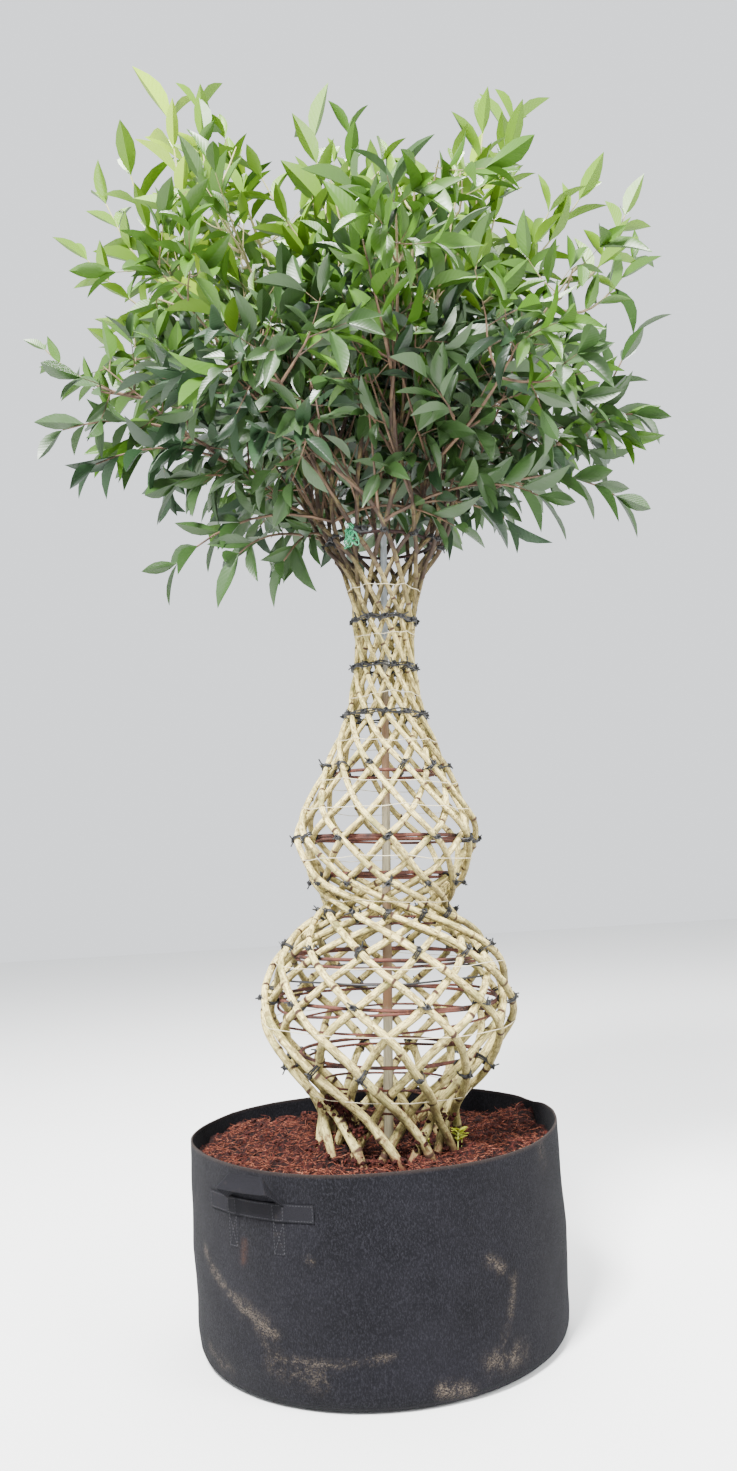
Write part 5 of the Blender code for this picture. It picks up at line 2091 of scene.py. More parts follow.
    def crumb_heap(self, rng: np.random.Generator) -> Heap:
        """Loose crumbs: small lumps with a few faces, each squashed and turned its own way.

        Args:
            rng: deals the random values.

        Returns:
            The crumbs.
        """
        bpy.ops.mesh.primitive_ico_sphere_add(subdivisions=1, radius=1.0)
        lump = bpy.context.object
        shape = places_of(lump)
        corners = np.array([tuple(face.vertices) for face in lump.data.polygons])
        bpy.data.objects.remove(lump)
        heap = Heap()
        places = np.concatenate([self.scattered(rng, self.crumbs, 0.006), *self.lodged(rng)])
        sizes = 0.0016 + 0.0060 * rng.random(len(places)) ** 3
        for at, size in zip(places, sizes):
            bent = shape * (1.0 + rng.uniform(-0.35, 0.35, shape.shape)) * rng.uniform(0.6, 1.3, 3)
            spin = np.linalg.qr(rng.normal(size=(3, 3)))[0]
            if np.linalg.det(spin) < 0.0:
                spin[0] *= -1.0
            heap.add(at + (bent * size) @ spin + np.array([0.0, 0.0, size * 0.3]), [corners])
        return heap

    def fibre_heap(self, rng: np.random.Generator) -> Heap:
        """Loose fibres, which lie curled on the surface and stand off it a little.

        Args:
            rng: deals the random values.

        Returns:
            The fibres.
        """
        heap = Heap()
        for at in self.scattered(rng, self.fibres, 0.010):
            length = rng.uniform(0.012, 0.042)
            way = polar(1.0, rng.uniform(0.0, 360.0), rng.uniform(-0.1, 0.50))
            bow = rng.normal(size=3) * length * 0.28
            t = np.linspace(-0.5, 0.5, 5)[:, None]
            path = at + way * length * t + bow * (0.25 - t * t) + np.array([0.0, 0.0, 0.0022])
            heap.add_tube(path, np.array([0.25, 1.0, 1.0, 0.9, 0.2]) * rng.uniform(0.0004, 0.0009), 3)
        return heap


@dataclass(frozen=True)
class LeafShape:
    """A leaf's outline and how it bends, for a leaf one metre long and one metre wide."""

    stations: tuple[float, ...] = (0.07, 0.20, 0.38, 0.58, 0.77, 0.91)
    half_widths: tuple[float, ...] = (0.085, 0.310, 0.480, 0.490, 0.330, 0.135)
    rib_half: float = 0.022
    rib_thick: float = 0.010

    def template(self, fold: float, arch: float, curl: float, twist: float) -> tuple[Array, list[Array]]:
        """Shapes one leaf: x across it, y towards its tip and z out of its upper face.

        Args:
            fold: how far each half rises from the midrib, for each unit of width.
            arch: how far the tip bends down, for each unit of length.
            curl: how far the edges roll down again.
            twist: how far the tip turns about the midrib, in radians.

        Returns:
            Its points and the blocks of faces of its upper side, its midrib and its underside.
        """
        rows = []
        for at, half in zip(self.stations, self.half_widths):
            for x in (-half, -self.rib_half, self.rib_half, half):
                rows.append((x, at, fold * abs(x) - curl * x * x * 4.0))
        for at in self.stations:
            rows.append((0.0, at, -self.rib_thick))
        rows += [(0.0, 0.0, 0.0), (0.0, 1.0, 0.0)]
        points = np.array(rows)
        angle = twist * points[:, 1]
        x, z = points[:, 0].copy(), points[:, 2].copy()
        points[:, 0] = x * np.cos(angle) - z * np.sin(angle)
        points[:, 2] = x * np.sin(angle) + z * np.cos(angle)
        points[:, 2] -= arch * points[:, 1] ** 2
        count = len(self.stations)
        keel, base, tip = 4 * count, 5 * count, 5 * count + 1
        blades, ribs, under = [], [], []
        for i in range(count - 1):
            a, b = 4 * i, 4 * (i + 1)
            blades += [(a, a + 1, b + 1, b), (a + 2, a + 3, b + 3, b + 2)]
            ribs.append((a + 1, a + 2, b + 2, b + 1))
            under += [(a, b, keel + i + 1, keel + i), (keel + i, keel + i + 1, b + 3, a + 3)]
        last = 4 * (count - 1)
        blade_ends = [(base, 1, 0), (base, 3, 2), (last, last + 1, tip), (last + 2, last + 3, tip)]
        rib_ends = [(base, 2, 1), (last + 1, last + 2, tip)]
        end = keel + count - 1
        under_ends = [(base, 0, keel), (base, keel, 3), (last, tip, end), (end, tip, last + 3)]
        blocks = [blades, blade_ends, ribs, rib_ends, under, under_ends]
        return points, [np.array(block) for block in blocks]


@dataclass
class Leaf:
    """One leaf: where it is rooted, where it points, where its upper face looks, and its size."""

    root: Vector
    course: Vector
    face: Vector
    length: float
    width: float
    shape: int


@dataclass
class LeafPress:
    """Turns leaves into joined meshes, one for each tone."""

    shape: LeafShape = LeafShape()
    shapes: int = 9
    folds: Pair = (0.28, 0.70)
    arches: Pair = (0.08, 0.50)
    curls: Pair = (0.0, 0.10)
    twists: Pair = (-0.35, 0.35)
    seed: int = 97

    def templates(self) -> list[tuple[Array, list[Array]]]:
        """Shapes the few leaves that all the others are copies of.

        Returns:
            The points and the blocks of faces of each.
        """
        rng = Random(self.seed)
        ranges = (self.folds, self.arches, self.curls, self.twists)
        return [self.shape.template(*(rng.uniform(*limits) for limits in ranges)) for _ in range(self.shapes)]

    def press(self, name: str, leaves: Sequence[Leaf]) -> Mesh:
        """Joins leaves into one mesh.

        Args:
            name: the mesh's name.
            leaves: the leaves.

        Returns:
            The mesh, with the upper faces, the midribs and the undersides as finishes 0, 1 and 2.
        """
        heap, templates = Heap(), self.templates()
        for number, (points, blocks) in enumerate(templates):
            mine = [leaf for leaf in leaves if leaf.shape == number]
            if not mine:
                continue
            root, course, face, sizes = (
                np.array(column) for column in
                zip(*((leaf.root, leaf.course, leaf.face, (leaf.length, leaf.width)) for leaf in mine))
            )
            across = unit(np.cross(course, face))
            face = np.cross(across, course)
            length, width = sizes[:, :1, None], sizes[:, 1:, None]
            placed = root[:, None] + across[:, None] * points[None, :, :1] * width
            placed = placed + course[:, None] * points[None, :, 1:2] * length
            placed = placed + face[:, None] * (points[None, :, 2:] * length * 0.5)
            offsets = (np.arange(len(mine)) * len(points))[:, None, None]
            for i, block in enumerate(blocks):
                faces = (block[None] + offsets).reshape(-1, block.shape[1]) + heap.count
                heap.faces.append(faces)
                heap.finishes.append(np.full(len(faces), i // 2))
            heap.points.append(placed.reshape(-1, 3))
            heap.count += len(mine) * len(points)
            flat = np.stack([points[:, 0], points[:, 1], np.zeros(len(points))], axis=-1)
            heap.marks.setdefault("blade", []).append(np.tile(flat, (len(mine), 1)))
        return heap.mesh(name, 60.0)


@dataclass(frozen=True)
class PhotoView:
    """The photograph's viewpoint, and where a point of the plant falls in its picture."""

    eye: Triple = (0.0192, -2.5928, 1.0047)
    pitch: float = 0.1228
    roll: float = 0.0595
    yaw: float = -0.008
    focal: float = 1104.3
    frame: Pair = (737.0, 1471.0)

    def axes(self) -> tuple[Vector, Vector, Vector]:
        """The directions to the picture's right, to its top and into it.

        Returns:
            The three directions.
        """
        level = Vector((math.cos(self.yaw), math.sin(self.yaw), 0.0))
        ahead = Vector((-math.sin(self.yaw), math.cos(self.yaw), 0.0))
        forward = ahead * math.cos(self.pitch) + UP * math.sin(self.pitch)
        upward = UP * math.cos(self.pitch) - ahead * math.sin(self.pitch)
        right = level * math.cos(self.roll) - upward * math.sin(self.roll)
        top = level * math.sin(self.roll) + upward * math.cos(self.roll)
        return right, top, forward

    def picture(self, point: Vector) -> Pair:
        """Where a point falls, counted from the picture's upper left corner.

        Args:
            point: the point.

        Returns:
            Its place across and down.
        """
        right, top, forward = self.axes()
        away = point - Vector(self.eye)
        scale = self.focal / away.dot(forward)
        return self.frame[0] / 2.0 + away.dot(right) * scale, self.frame[1] / 2.0 - away.dot(top) * scale


@dataclass(frozen=True)
class OpenSky:
    """Where the photograph shows sky round the crown: lines of (across, down) places in it."""

    view: PhotoView = PhotoView()
    top: Curve = (
        (15, 430), (50, 400), (62, 345), (74, 300), (85, 258), (100, 210), (120, 172), (142, 120),
        (160, 66), (215, 68), (242, 86), (252, 195), (300, 200), (306, 108), (345, 100), (412, 120),
        (428, 148), (470, 118), (500, 90), (518, 94), (532, 176), (585, 176), (598, 208), (630, 205),
        (650, 238), (650, 330), (660, 400), (668, 430),
    )
    thin_top: Curve = (
        (15, 430), (75, 355), (95, 305), (130, 270), (146, 205), (158, 130), (232, 130), (246, 250),
        (302, 255), (314, 185), (412, 180), (432, 190), (452, 158), (512, 140), (524, 205), (540, 245),
        (580, 275), (620, 335), (650, 390), (700, 440),
    )
    bottom: Curve = (
        (15, 400), (62, 432), (88, 470), (135, 496), (185, 510), (240, 520), (290, 528), (330, 556),
        (350, 575), (430, 575), (455, 540), (500, 538), (540, 506), (605, 502), (635, 470), (668, 430),
    )
    sprigs: tuple[Four, ...] = (
        (228, 552, 62, 30), (335, 585, 16, 30), (66, 352, 34, 26),
    )
    windows: tuple[Four, ...] = (
        (240, 455, 70, 30), (300, 500, 46, 26), (430, 505, 60, 26), (436, 300, 20, 70), (330, 390, 26, 60),
        (232, 290, 14, 60), (395, 400, 20, 50), (520, 430, 34, 30),
    )
    window_depth: float = 0.10
    sprig_share: float = 0.55
    window_share: float = 0.28
    thin_share: float = 0.18

    def inside(self, spots: Sequence[Four], across: float, down: float) -> bool:
        """Whether a place of the picture lies in one of the oval spots."""
        return any(((across - x) / wide) ** 2 + ((down - y) / tall) ** 2 < 1.0 for x, y, wide, tall in spots)

    def share(self, point: Vector) -> float:
        """The share of the leaves at a point that the photograph leaves standing.

        Args:
            point: the point.

        Returns:
            The share, from 0 to 1.
        """
        across, down = self.view.picture(point)
        if self.inside(self.sprigs, across, down):
            return self.sprig_share
        if down < line_value(self.top, across) or down > line_value(self.bottom, across):
            return 0.0
        if point.y < self.window_depth and self.inside(self.windows, across, down):
            return self.window_share
        return self.thin_share if down < line_value(self.thin_top, across) else 1.0


@dataclass
class Crown:
    """Twigs and leaves that grow on from the boughs, in pairs, by the rule of the solids."""

    masses: dict[Key, Mass]
    limbs: dict[Key, Limb]
    twig_finish: TwigFinish = TwigFinish()
    press: LeafPress = field(default_factory=LeafPress)
    across: Triple = (0.31, 0.94, 0.12)
    stem_radius: float = 0.0048
    side_radius: float = 0.0034
    spray_radius: float = 0.0017
    twig_spacing: float = 0.18
    first_twig: float = 0.45
    fewest_pairs: int = 2
    side_length: float = 0.12
    side_spread: Pair = (0.8, 1.15)
    side_deg: float = 58.0
    side_lift: float = 0.12
    reach: float = 0.185
    fork_deg: float = 52.0
    wander: float = 0.13
    tuft_step: float = 0.018
    cell_margin: float = 0.006
    shrink: float = 0.85
    smallest: float = 0.50
    leaf_length: float = 0.112
    leaf_slimness: Pair = (0.28, 0.365)
    leaf_spread: Pair = (0.72, 1.20)
    leaf_pair_gap: float = 0.042
    leader_pair_gap: float = 0.054
    leader_radius: float = 0.0042
    runners: int = 4
    leaders: tuple[tuple[float, float, float, float, float], ...] = (
        (-0.37, 0.00, 2.92, 0.66, 1.20), (-0.29, -0.03, 2.92, 0.46, 1.08), (-0.235, 0.02, 2.88, 0.30, 0.9),
        (-0.48, 0.03, 2.80, 0.36, 1.1), (-0.01, 0.00, 2.85, 0.44, 1.12), (0.08, -0.04, 2.83, 0.40, 1.08),
        (0.16, 0.00, 2.78, 0.34, 1.0), (-0.14, -0.08, 2.70, 0.34, 1.05), (0.50, 0.00, 2.86, 0.60, 1.15),
        (0.41, -0.06, 2.80, 0.44, 1.05), (0.66, 0.05, 2.68, 0.36, 1.0), (0.57, 0.00, 2.62, 0.30, 0.95),
        (0.76, 0.00, 2.60, 0.34, 0.85), (0.77, 0.00, 2.48, 0.34, 0.85), (0.74, -0.05, 2.26, 0.34, 1.0),
        (0.72, -0.05, 2.06, 0.34, 0.95), (0.66, -0.05, 1.86, 0.34, 1.0), (0.45, -0.20, 1.82, 0.34, 1.0),
        (-0.70, 0.00, 2.33, 0.34, 0.75), (-0.65, -0.05, 2.10, 0.34, 1.0), (-0.59, 0.00, 2.56, 0.34, 1.0),
        (-0.55, 0.05, 2.74, 0.34, 0.95), (-0.55, -0.15, 1.97, 0.34, 1.0), (-0.38, -0.10, 1.74, 0.38, 1.0),
        (-0.23, -0.15, 1.74, 0.30, 0.95), (-0.13, -0.14, 1.72, 0.26, 0.95), (0.26, -0.17, 1.77, 0.26, 0.95),
        (0.38, -0.14, 1.79, 0.30, 1.0), (0.08, 0.66, 2.30, 0.34, 1.0), (0.45, 0.50, 2.56, 0.34, 1.0),
        (-0.36, 0.50, 2.60, 0.34, 1.0), (0.10, 0.36, 2.74, 0.36, 1.1), (-0.28, 0.24, 2.84, 0.40, 1.1),
        (0.36, 0.26, 2.72, 0.36, 1.1), (0.30, 0.62, 2.06, 0.34, 1.0), (-0.30, 0.60, 2.10, 0.34, 1.0),
        (0.08, -0.62, 2.20, 0.30, 1.0),
    )
    axis_x: float = 0.095
    hem: Curve = ((0.0, 1.90), (0.20, 1.86), (0.32, 1.86), (0.50, 1.92), (0.62, 1.98), (0.75, 2.06))
    low_sprays: float = 0.30
    fresh_backlit_from: float = 2.45
    tone_scores: Triple = (0.98, 0.66, 0.38)
    deep_share: float = 0.7
    sky: OpenSky = OpenSky()
    twigs: Heap = field(default_factory=Heap)
    leaves: dict[Tone, list[Leaf]] = field(default_factory=lambda: {tone: [] for tone in list(Tone)[:-1]})

    def owns(self, key: Key, point: Vector) -> bool:
        """Whether a point lies in a mass's own space, nearer to its stem than to any other.

        Args:
            key: the mass.
            point: the point.

        Returns:
            Whether it does.
        """
        def gap(mass: Mass) -> float:
            """The distance from the point to a mass's stem."""
            along = mass.end - mass.tip
            t = min(max((point - mass.tip).dot(along) / along.length_squared, 0.0), 1.0)
            return (point - mass.tip - along * t).length

        own = gap(self.masses[key]) - self.cell_margin * 4.0
        return all(other == key or gap(mass) > own for other, mass in self.masses.items())

    def out_at(self, point: Vector) -> float:
        """How far a point lies from the crown's axis."""
        return Vector((point.x - self.axis_x, point.y, 0.0)).length

    def too_low(self, point: Vector) -> bool:
        """Whether a point lies under the crown's hem, where the photograph shows sky."""
        return point.z < line_value(self.hem, self.out_at(point))

    def twig(self, path: Sequence[Vector], thick: float, thin: float, sides: int) -> None:
        """Adds a tapering twig."""
        points = np.array([tuple(point) for point in path])
        self.twigs.add_tube(points, np.linspace(thick, thin, len(points)), sides)

    def jitter(self, rng: Random, amount: float) -> Vector:
        """A small random vector."""
        return Vector([rng.uniform(-amount, amount) for _ in range(3)])

    def sideways(self, course: Vector, turn_deg: float) -> Vector:
        """A direction across the course, turned round it."""
        start = course.cross(Vector(self.across)).normalized()
        return Matrix.Rotation(math.radians(turn_deg), 3, course) @ start

    def tone_at(self, point: Vector, rng: Random) -> Tone:
        """Deals a spray its tone, which paints light and shade: lighter towards the top and the outside of
        the crown, and darker low and inside.

        Args:
            point: the point.
            rng: deals the random values.

        Returns:
            The tone.
        """
        fresh_backlit, light, middle = self.tone_scores
        # Painted light and shade: high and outer sprays get lighter tones, low and inner ones darker.
        score = (point.z - 1.75) / 1.25 + 0.20 * (self.out_at(point) - 0.35) + rng.gauss(0.0, 0.12)
        if score > fresh_backlit and point.z > self.fresh_backlit_from:
            return Tone.FRESH
        if score > light:
            return Tone.LIGHT
        if score > middle:
            return Tone.MIDDLE
        return Tone.DEEP if rng.random() < self.deep_share else Tone.SHADED

    def leaf(
        self, rng: Random, root: Vector, axis: Vector, side: Vector, lean_deg: float, size: float,
        droop: float, tone: Tone,
    ) -> None:
        """Adds a leaf.

        Args:
            rng: varies it.
            root: where it leaves its twig.
            axis: the twig's direction there.
            side: the side that it leaves on.
            lean_deg: its angle to the twig.
            size: its size, where 1 is a common leaf.
            droop: how far it hangs.
            tone: its tone.
        """
        lean = math.radians(lean_deg)
        course = axis * math.cos(lean) + side * math.sin(lean) - UP * droop + self.jitter(rng, 0.10)
        course.normalize()
        inner = axis * math.sin(lean) - side * math.cos(lean)
        face = UP * 0.8 + inner + self.jitter(rng, 0.30)
        face = face - course * face.dot(course)
        if face.length < 0.05:
            face = inner
        length = self.leaf_length * size * rng.uniform(*self.leaf_spread)
        width = length * rng.uniform(*self.leaf_slimness)
        shape = rng.randrange(self.press.shapes)
        self.leaves[tone].append(Leaf(root, course, face.normalized(), length, width, shape))

    def spray(
        self, key: Key, rng: Random, root: Vector, course: Vector, droop: float, size: float = 1.0
    ) -> None:
        """Adds a spray in the place of one of the solid's leaves: a fine twig with leaves in pairs.

        Args:
            key: the mass that it belongs to.
            rng: varies it.
            root: where it starts.
            course: where it points.
            droop: how far it hangs.
            size: its share of the full reach.
        """
        course = (course - UP * droop + self.jitter(rng, self.wander)).normalized()
        tip = root + course * self.reach * size
        share = self.sky.share(tip) * (self.low_sprays if self.too_low(tip) else 1.0)
        if rng.random() > share:
            return
        if not self.owns(key, root + course * self.reach * size * 0.8):
            if size > self.smallest:
                self.spray(key, rng, root, course, 0.0, size * self.shrink)
            return
        length = self.reach * size * rng.uniform(0.50, 0.66)
        bend = (UP * (0.22 - 0.6 * droop) + self.jitter(rng, 0.12)) * length
        path = [root + course * length * t + bend * t * t for t in (0.0, 0.33, 0.66, 1.0)]
        self.twig(path, self.spray_radius, self.spray_radius * 0.5, 4)
        tone = self.tone_at(path[-1], rng)
        pairs = max(2, round(length / self.leaf_pair_gap))
        turn = rng.uniform(0.0, 180.0)
        for pair in range(pairs):
            share = (pair + 0.75) / pairs if pair < pairs - 1 else 1.0
            at = root + course * length * share + bend * share * share
            axis = (course + bend * 2.0 * share / length).normalized()
            tip_share = pair / max(pairs - 1, 1)
            lean = 60.0 - 32.0 * tip_share + rng.uniform(-7.0, 7.0)
            grown = (0.80, 1.0, 1.02, 1.0)[min(pair, 3)] if pair < pairs - 1 else 0.95
            for flip in (0.0, 180.0):
                if rng.random() < 0.06:
                    continue
                side = self.sideways(axis, turn + flip + rng.uniform(-12.0, 12.0))
                self.leaf(rng, at, axis, side, lean, grown, droop * (0.6 + 0.5 * rng.random()), tone)
            turn += 90.0
        if rng.random() < 0.45:
            side = self.sideways(course, turn)
            self.leaf(rng, path[-1], (path[-1] - path[-2]).normalized(), side, 10.0, 0.7, droop * 0.3, tone)

    def tuft(
        self, key: Key, rng: Random, node: Vector, course: Vector, turn_deg: float, droop: float
    ) -> None:
        """The end of a twig: a spray straight on and a pair beside it."""
        self.spray(key, rng, node, course, droop, 1.05)
        self.spray_pair(key, rng, node - course * self.tuft_step, course, turn_deg, droop, 1.0)

    def spray_pair(
        self, key: Key, rng: Random, node: Vector, course: Vector, turn_deg: float, droop: float, size: float
    ) -> None:
        """Two opposite sprays.

        Args:
            key: the mass that it belongs to.
            rng: deals the random values.
            node: where it starts.
            course: the direction of the twig that it leaves.
            turn_deg: its turn round that twig.
            droop: how far its leaves hang.
            size: their share of the full reach.
        """
        spread = math.radians(self.fork_deg)
        for flip in (0.0, 180.0):
            side = self.sideways(course, turn_deg + flip)
            heading = (course * math.cos(spread) + side * math.sin(spread)).normalized()
            self.spray(key, rng, node, heading, droop, size)

    def side_twig(
        self, key: Key, rng: Random, node: Vector, course: Vector, turn_deg: float, droop: float
    ) -> None:
        """A side twig with a pair of sprays on its way and a tuft at its end.

        Args:
            key: the mass that it belongs to.
            rng: deals the random values.
            node: where it starts.
            course: the direction of the twig that it leaves.
            turn_deg: its turn round that twig.
            droop: how far its leaves hang.
        """
        spread = math.radians(self.side_deg)
        side = self.sideways(course, turn_deg)
        heading = (course * math.cos(spread) + side * math.sin(spread) + UP * self.side_lift).normalized()
        length = self.side_length * rng.uniform(*self.side_spread)
        end = node + heading * length
        if not self.owns(key, end) or self.sky.share(end) == 0.0:
            self.spray(key, rng, node, heading, droop)
            return
        sag = self.jitter(rng, 0.01) + UP * 0.006
        path = [node, node.lerp(end, 0.35) - sag, node.lerp(end, 0.7) - sag * 0.8, end]
        self.twig(path, self.side_radius, self.spray_radius, 5)
        self.spray_pair(key, rng, node.lerp(end, 0.55), heading, rng.uniform(0.0, 180.0), droop, 0.7)
        self.tuft(key, rng, end, heading, rng.uniform(0.0, 180.0), droop)

    def grow_mass(self, key: Key, seed: int) -> None:
        """Grows one mass along its stem.

        Args:
            key: the mass.
            seed: the seed of its random values.
        """
        mass, rng = self.masses[key], Random(seed)
        course, droop = mass.course, mass.droop
        turn = rng.uniform(0.0, 90.0)
        length = (mass.end - mass.tip).length
        bow = self.jitter(rng, 0.012)
        path = [mass.tip.lerp(mass.end, t) + bow * math.sin(math.pi * t) for t in np.linspace(0.0, 1.0, 9)]
        kept = [point for number, point in enumerate(path) if number < 3 or self.sky.share(point) > 0.0]
        self.twig(kept, self.stem_radius, self.spray_radius, 6)
        joints = max(self.fewest_pairs, round(length / self.twig_spacing))
        for joint in range(1, joints + 1):
            share = (joint - 1 + self.first_twig) / joints
            node = mass.tip.lerp(mass.end, share) + bow * math.sin(math.pi * share)
            self.side_twig(key, rng, node, course, turn, droop)
            self.side_twig(key, rng, node, course, turn + 180.0, droop)
            between = mass.tip.lerp(mass.end, min(share + 0.5 / joints, 1.0))
            self.spray_pair(key, rng, between, course, turn + 45.0, droop, 0.75)
            turn += 90.0
        self.tuft(key, rng, mass.end, course, turn + 90.0, droop)

    def grow_runners(self, key: Key, seed: int) -> None:
        """Grows the slim shoots that leave a bough below its mass and fill the crown's inside.

        Args:
            key: the mass.
            seed: the seed of its random values.
        """
        mass, limb, rng = self.masses[key], self.limbs[key], Random(seed)
        bough = limb.path[limb.bough_from:]
        for number in range(self.runners):
            share = 0.20 + 0.60 * number / max(self.runners - 1, 1) + rng.uniform(-0.05, 0.05)
            index = int(share * (len(bough) - 2))
            start = Vector(bough[index])
            along = Vector(unit(bough[index + 1] - bough[index]))
            side = self.sideways(along, rng.uniform(0.0, 360.0))
            heading = (along + side * 0.45 + UP * 0.25).normalized()
            length = rng.uniform(0.14, 0.32)
            bend = UP * length * 0.15
            path = [start + heading * length * t + bend * t * t for t in np.linspace(0.0, 1.0, 6)]
            self.twig(path, self.side_radius, self.spray_radius, 5)
            turn = rng.uniform(0.0, 180.0)
            for at in (0.3, 0.55, 0.8):
                node = start + heading * length * at + bend * at * at
                self.spray_pair(key, rng, node, heading, turn, mass.droop, 0.75)
                turn += 90.0
            self.tuft(key, rng, path[-1], heading, turn, mass.droop)

    def leader_root(self, target: Vector, length: float) -> tuple[Vector, float]:
        """The place on a bough or on a mass's stem that a shoot of this length grows from.

        Args:
            target: where its tip comes.
            length: its length.

        Returns:
            The place, and how far leaves hang there.
        """
        base = Vector((self.axis_x, 0.0, 1.78))
        outward = (target - base).normalized()
        best = (math.inf, base, 0.0)
        for key, mass in self.masses.items():
            limb = self.limbs[key]
            bough = limb.path[limb.bough_from + 3:]
            points = [Vector(point) for point in bough[::3]]
            points += [mass.tip.lerp(mass.end, t) for t in (0.15, 0.35, 0.55, 0.75, 0.92)]
            for point in points:
                away = target - point
                cost = abs(away.length - length) + 0.6 * (1.0 - away.normalized().dot(outward))
                if cost < best[0]:
                    best = (cost, point, mass.droop)
        return best[1], best[2]

    def grow_leader(self, target: Vector, length: float, size: float, seed: int) -> None:
        """Grows one of the long shoots that give the crown its outline: leaves in pairs to its tip.

        Args:
            target: where its tip comes.
            length: its length.
            size: the size of its leaves.
            seed: the seed of its random values.
        """
        rng = Random(seed)
        root, droop = self.leader_root(target, length)
        away = target - root
        rises = away.z > 0.35 * away.length
        bend = UP * (-0.14 if rises else 0.16) * away.length + self.jitter(rng, 0.02)
        steps = np.linspace(0.0, 1.0, 9)
        path = [root + away * t + bend * 4.0 * t * (1.0 - t) for t in steps]
        self.twig(path, self.leader_radius, self.spray_radius, 6)
        tone = self.tone_at(target, rng)
        count = max(4, round(away.length * 0.72 / self.leader_pair_gap))
        turn = rng.uniform(0.0, 180.0)
        for pair in range(count):
            t = 0.28 + 0.72 * (pair + 1.0) / count
            at = root + away * t + bend * 4.0 * t * (1.0 - t)
            axis = (away + bend * 4.0 * (1.0 - 2.0 * t)).normalized()
            lean = 58.0 - 30.0 * t**2 + rng.uniform(-7.0, 7.0)
            for flip in (0.0, 180.0):
                side = self.sideways(axis, turn + flip + rng.uniform(-10.0, 10.0))
                grown = size * rng.uniform(0.95, 1.1)
                self.leaf(rng, at, axis, side, lean, grown, 0.0 if rises else droop, tone)
            turn += 90.0

    def build(self) -> None:
        """Grows every mass, then makes the twigs and the leaves of each tone."""
        for seed, key in enumerate(self.masses):
            self.grow_mass(key, seed)
            self.grow_runners(key, 100 + seed)
        for seed, (x, y, z, length, size) in enumerate(self.leaders):
            self.grow_leader(Vector((x, y, z)), length, size, 200 + seed)
        names = [mass.name for mass in self.masses.values()]
        dress(self.twigs.mesh("crown_twigs"), self.twig_finish, names)
        for tone, leaves in self.leaves.items():
            LOG.info("%s: %d leaves", tone.name, len(leaves))
            finish = LeafFinish(tone)
            mesh = self.press.press(f"leaves_{tone.name.lower()}", leaves)
            show(mesh, finish.slot, finish.materials(), names)


@dataclass
class FootShoots:
    """The two young shoots that sprout at the trunk's foot."""

    press: LeafPress
    sprouts: tuple[tuple[Triple, float, float], ...] = (
        ((0.187, -0.062, 0.380), 0.042, 0.022), ((0.116, -0.050, 0.380), 0.024, 0.015),
    )
    radius: float = 0.0012
    seed: int = 5

    def build(self) -> None:
        """Makes the stalks and their small pale leaves."""
        rng, stalks, leaves = Random(self.seed), Heap(), []
        for (x, y, z), tall, longest in self.sprouts:
            for _ in range(3):
                lean = Vector((rng.uniform(-0.35, 0.35), rng.uniform(-0.35, 0.35), 1.0)).normalized()
                foot = Vector((x + rng.uniform(-0.006, 0.006), y + rng.uniform(-0.006, 0.006), z))
                path = np.array([tuple(foot + lean * tall * t) for t in (0.0, 0.5, 1.0)])
                stalks.add_tube(path, self.radius, 5)
                for share in (0.55, 0.8, 1.0):
                    turn = rng.uniform(0.0, TURN)
                    for flip in (0.0, math.pi):
                        side = Vector((math.cos(turn + flip), math.sin(turn + flip), 0.0))
                        course = (lean * 0.5 + side + UP * rng.uniform(0.0, 0.4)).normalized()
                        length = longest * rng.uniform(0.7, 1.15)
                        root, shape = foot + lean * tall * share, rng.randrange(self.press.shapes)
                        leaves.append(Leaf(root, course, UP.copy(), length, length * 0.45, shape))
        finish = LeafFinish(Tone.SPROUT)
        materials = finish.materials()
        show(stalks.mesh("foot_shoot_stalks"), finish.slot, [materials[1]])
        show(self.press.press("foot_shoot_leaves", leaves), finish.slot, materials)


@dataclass(frozen=True)
class Lamp:
    """A soft area light: its place, the point that it faces, its size and its power."""

    name: str
    place: Triple
    towards: Triple
    size: float
    power: float


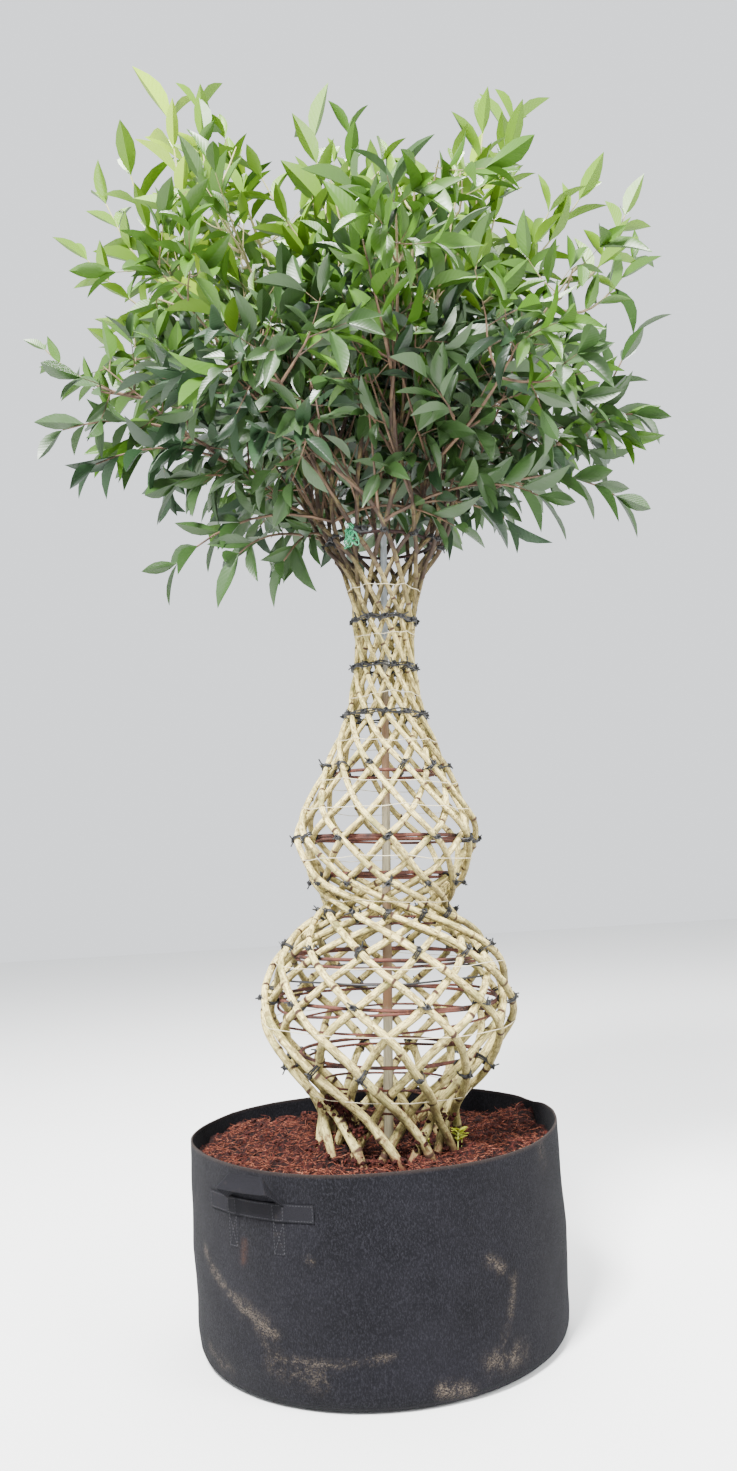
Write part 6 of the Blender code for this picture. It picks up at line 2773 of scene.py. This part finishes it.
@dataclass
class Studio:
    """The plain pale floor, the soft lights and the camera at the photograph's angle."""

    floor_half: float = 14.0
    floor_finish: FloorFinish = FloorFinish()
    sky: Color = (0.93, 0.96, 1.0)
    sky_strength: float = 1.50
    lamps: tuple[Lamp, ...] = (
        Lamp("key_light", (-1.7, -4.0, 5.8), (0.0, 0.0, 1.4), 1.4, 2500.0),
        Lamp("fill_light", (4.2, -3.2, 3.6), (0.0, 0.0, 1.0), 2.6, 430.0),
        Lamp("top_light", (0.7, 1.5, 6.4), (0.0, 0.0, 2.0), 2.4, 720.0),
    )
    view: PhotoView = PhotoView()
    sensor: float = 36.0

    def camera(self) -> None:
        """Sets up the camera."""
        data = bpy.data.cameras.new("photo_camera")
        data.sensor_width = self.sensor
        data.lens = self.sensor * self.view.focal / self.view.frame[1]
        obj = bpy.data.objects.new("photo_camera", data)
        bpy.context.scene.collection.objects.link(obj)
        right, top, forward = self.view.axes()
        turned = Matrix((right, top, -forward)).transposed().to_4x4()
        obj.matrix_world = Matrix.Translation(self.view.eye) @ turned
        bpy.context.scene.camera = obj

    def build(self) -> None:
        """Makes the floor, the sky, the lights and the camera."""
        deselect_all()
        bpy.ops.mesh.primitive_plane_add(size=self.floor_half * 2.0, location=(0.0, 0.0, 0.0))
        floor = bpy.context.object
        floor.name = "studio_floor"
        floor.data.materials.append(self.floor_finish.material())
        floor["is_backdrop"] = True
        world = bpy.data.worlds.new("studio_sky")
        world.use_nodes = True
        background = world.node_tree.nodes["Background"]
        background.inputs["Color"].default_value = (*self.sky, 1.0)
        background.inputs["Strength"].default_value = self.sky_strength
        bpy.context.scene.world = world
        for lamp in self.lamps:
            data = bpy.data.lights.new(lamp.name, "AREA")
            data.energy, data.size = lamp.power, lamp.size
            light = bpy.data.objects.new(lamp.name, data)
            light.location = lamp.place
            aim = Vector(lamp.towards) - Vector(lamp.place)
            light.rotation_euler = aim.to_track_quat("-Z", "Y").to_euler()
            bpy.context.scene.collection.objects.link(light)
        self.camera()


def keep_sizes(solid: Sequence[Sequence[float]]) -> None:
    """Works out the box of the solids and the box of the dressed model as plain lists.

    Args:
        solid: the two corners of the solids' box.
    """
    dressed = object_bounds()
    boxes = {"solids": [list(corner) for corner in solid], "dressed": [list(corner) for corner in dressed]}


def main() -> None:
    """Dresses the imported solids, piece by piece."""
    logging.basicConfig(level=logging.INFO, format="%(name)s %(message)s")
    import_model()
    solid = [list(corner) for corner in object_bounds()]
    Studio().build()
    weave = Weave()
    bag = GrowBag()
    bag.build()
    Handle(bag, "handle_front", 0.0).build()
    Handle(bag, "handle_back", 180.0).build()
    CoirBed(bag, weave).build()
    masses = CrownPlan().masses(weave)
    limbs = WovenStems(weave, masses).build()
    Pole(weave).build()
    Hoops(weave).build()
    Ties(weave).build()
    Twine(weave).build()
    crown = Crown(masses, limbs)
    crown.build()
    FootShoots(crown.press).build()
    keep_sizes(solid)


if __name__ == "__main__":
    main()
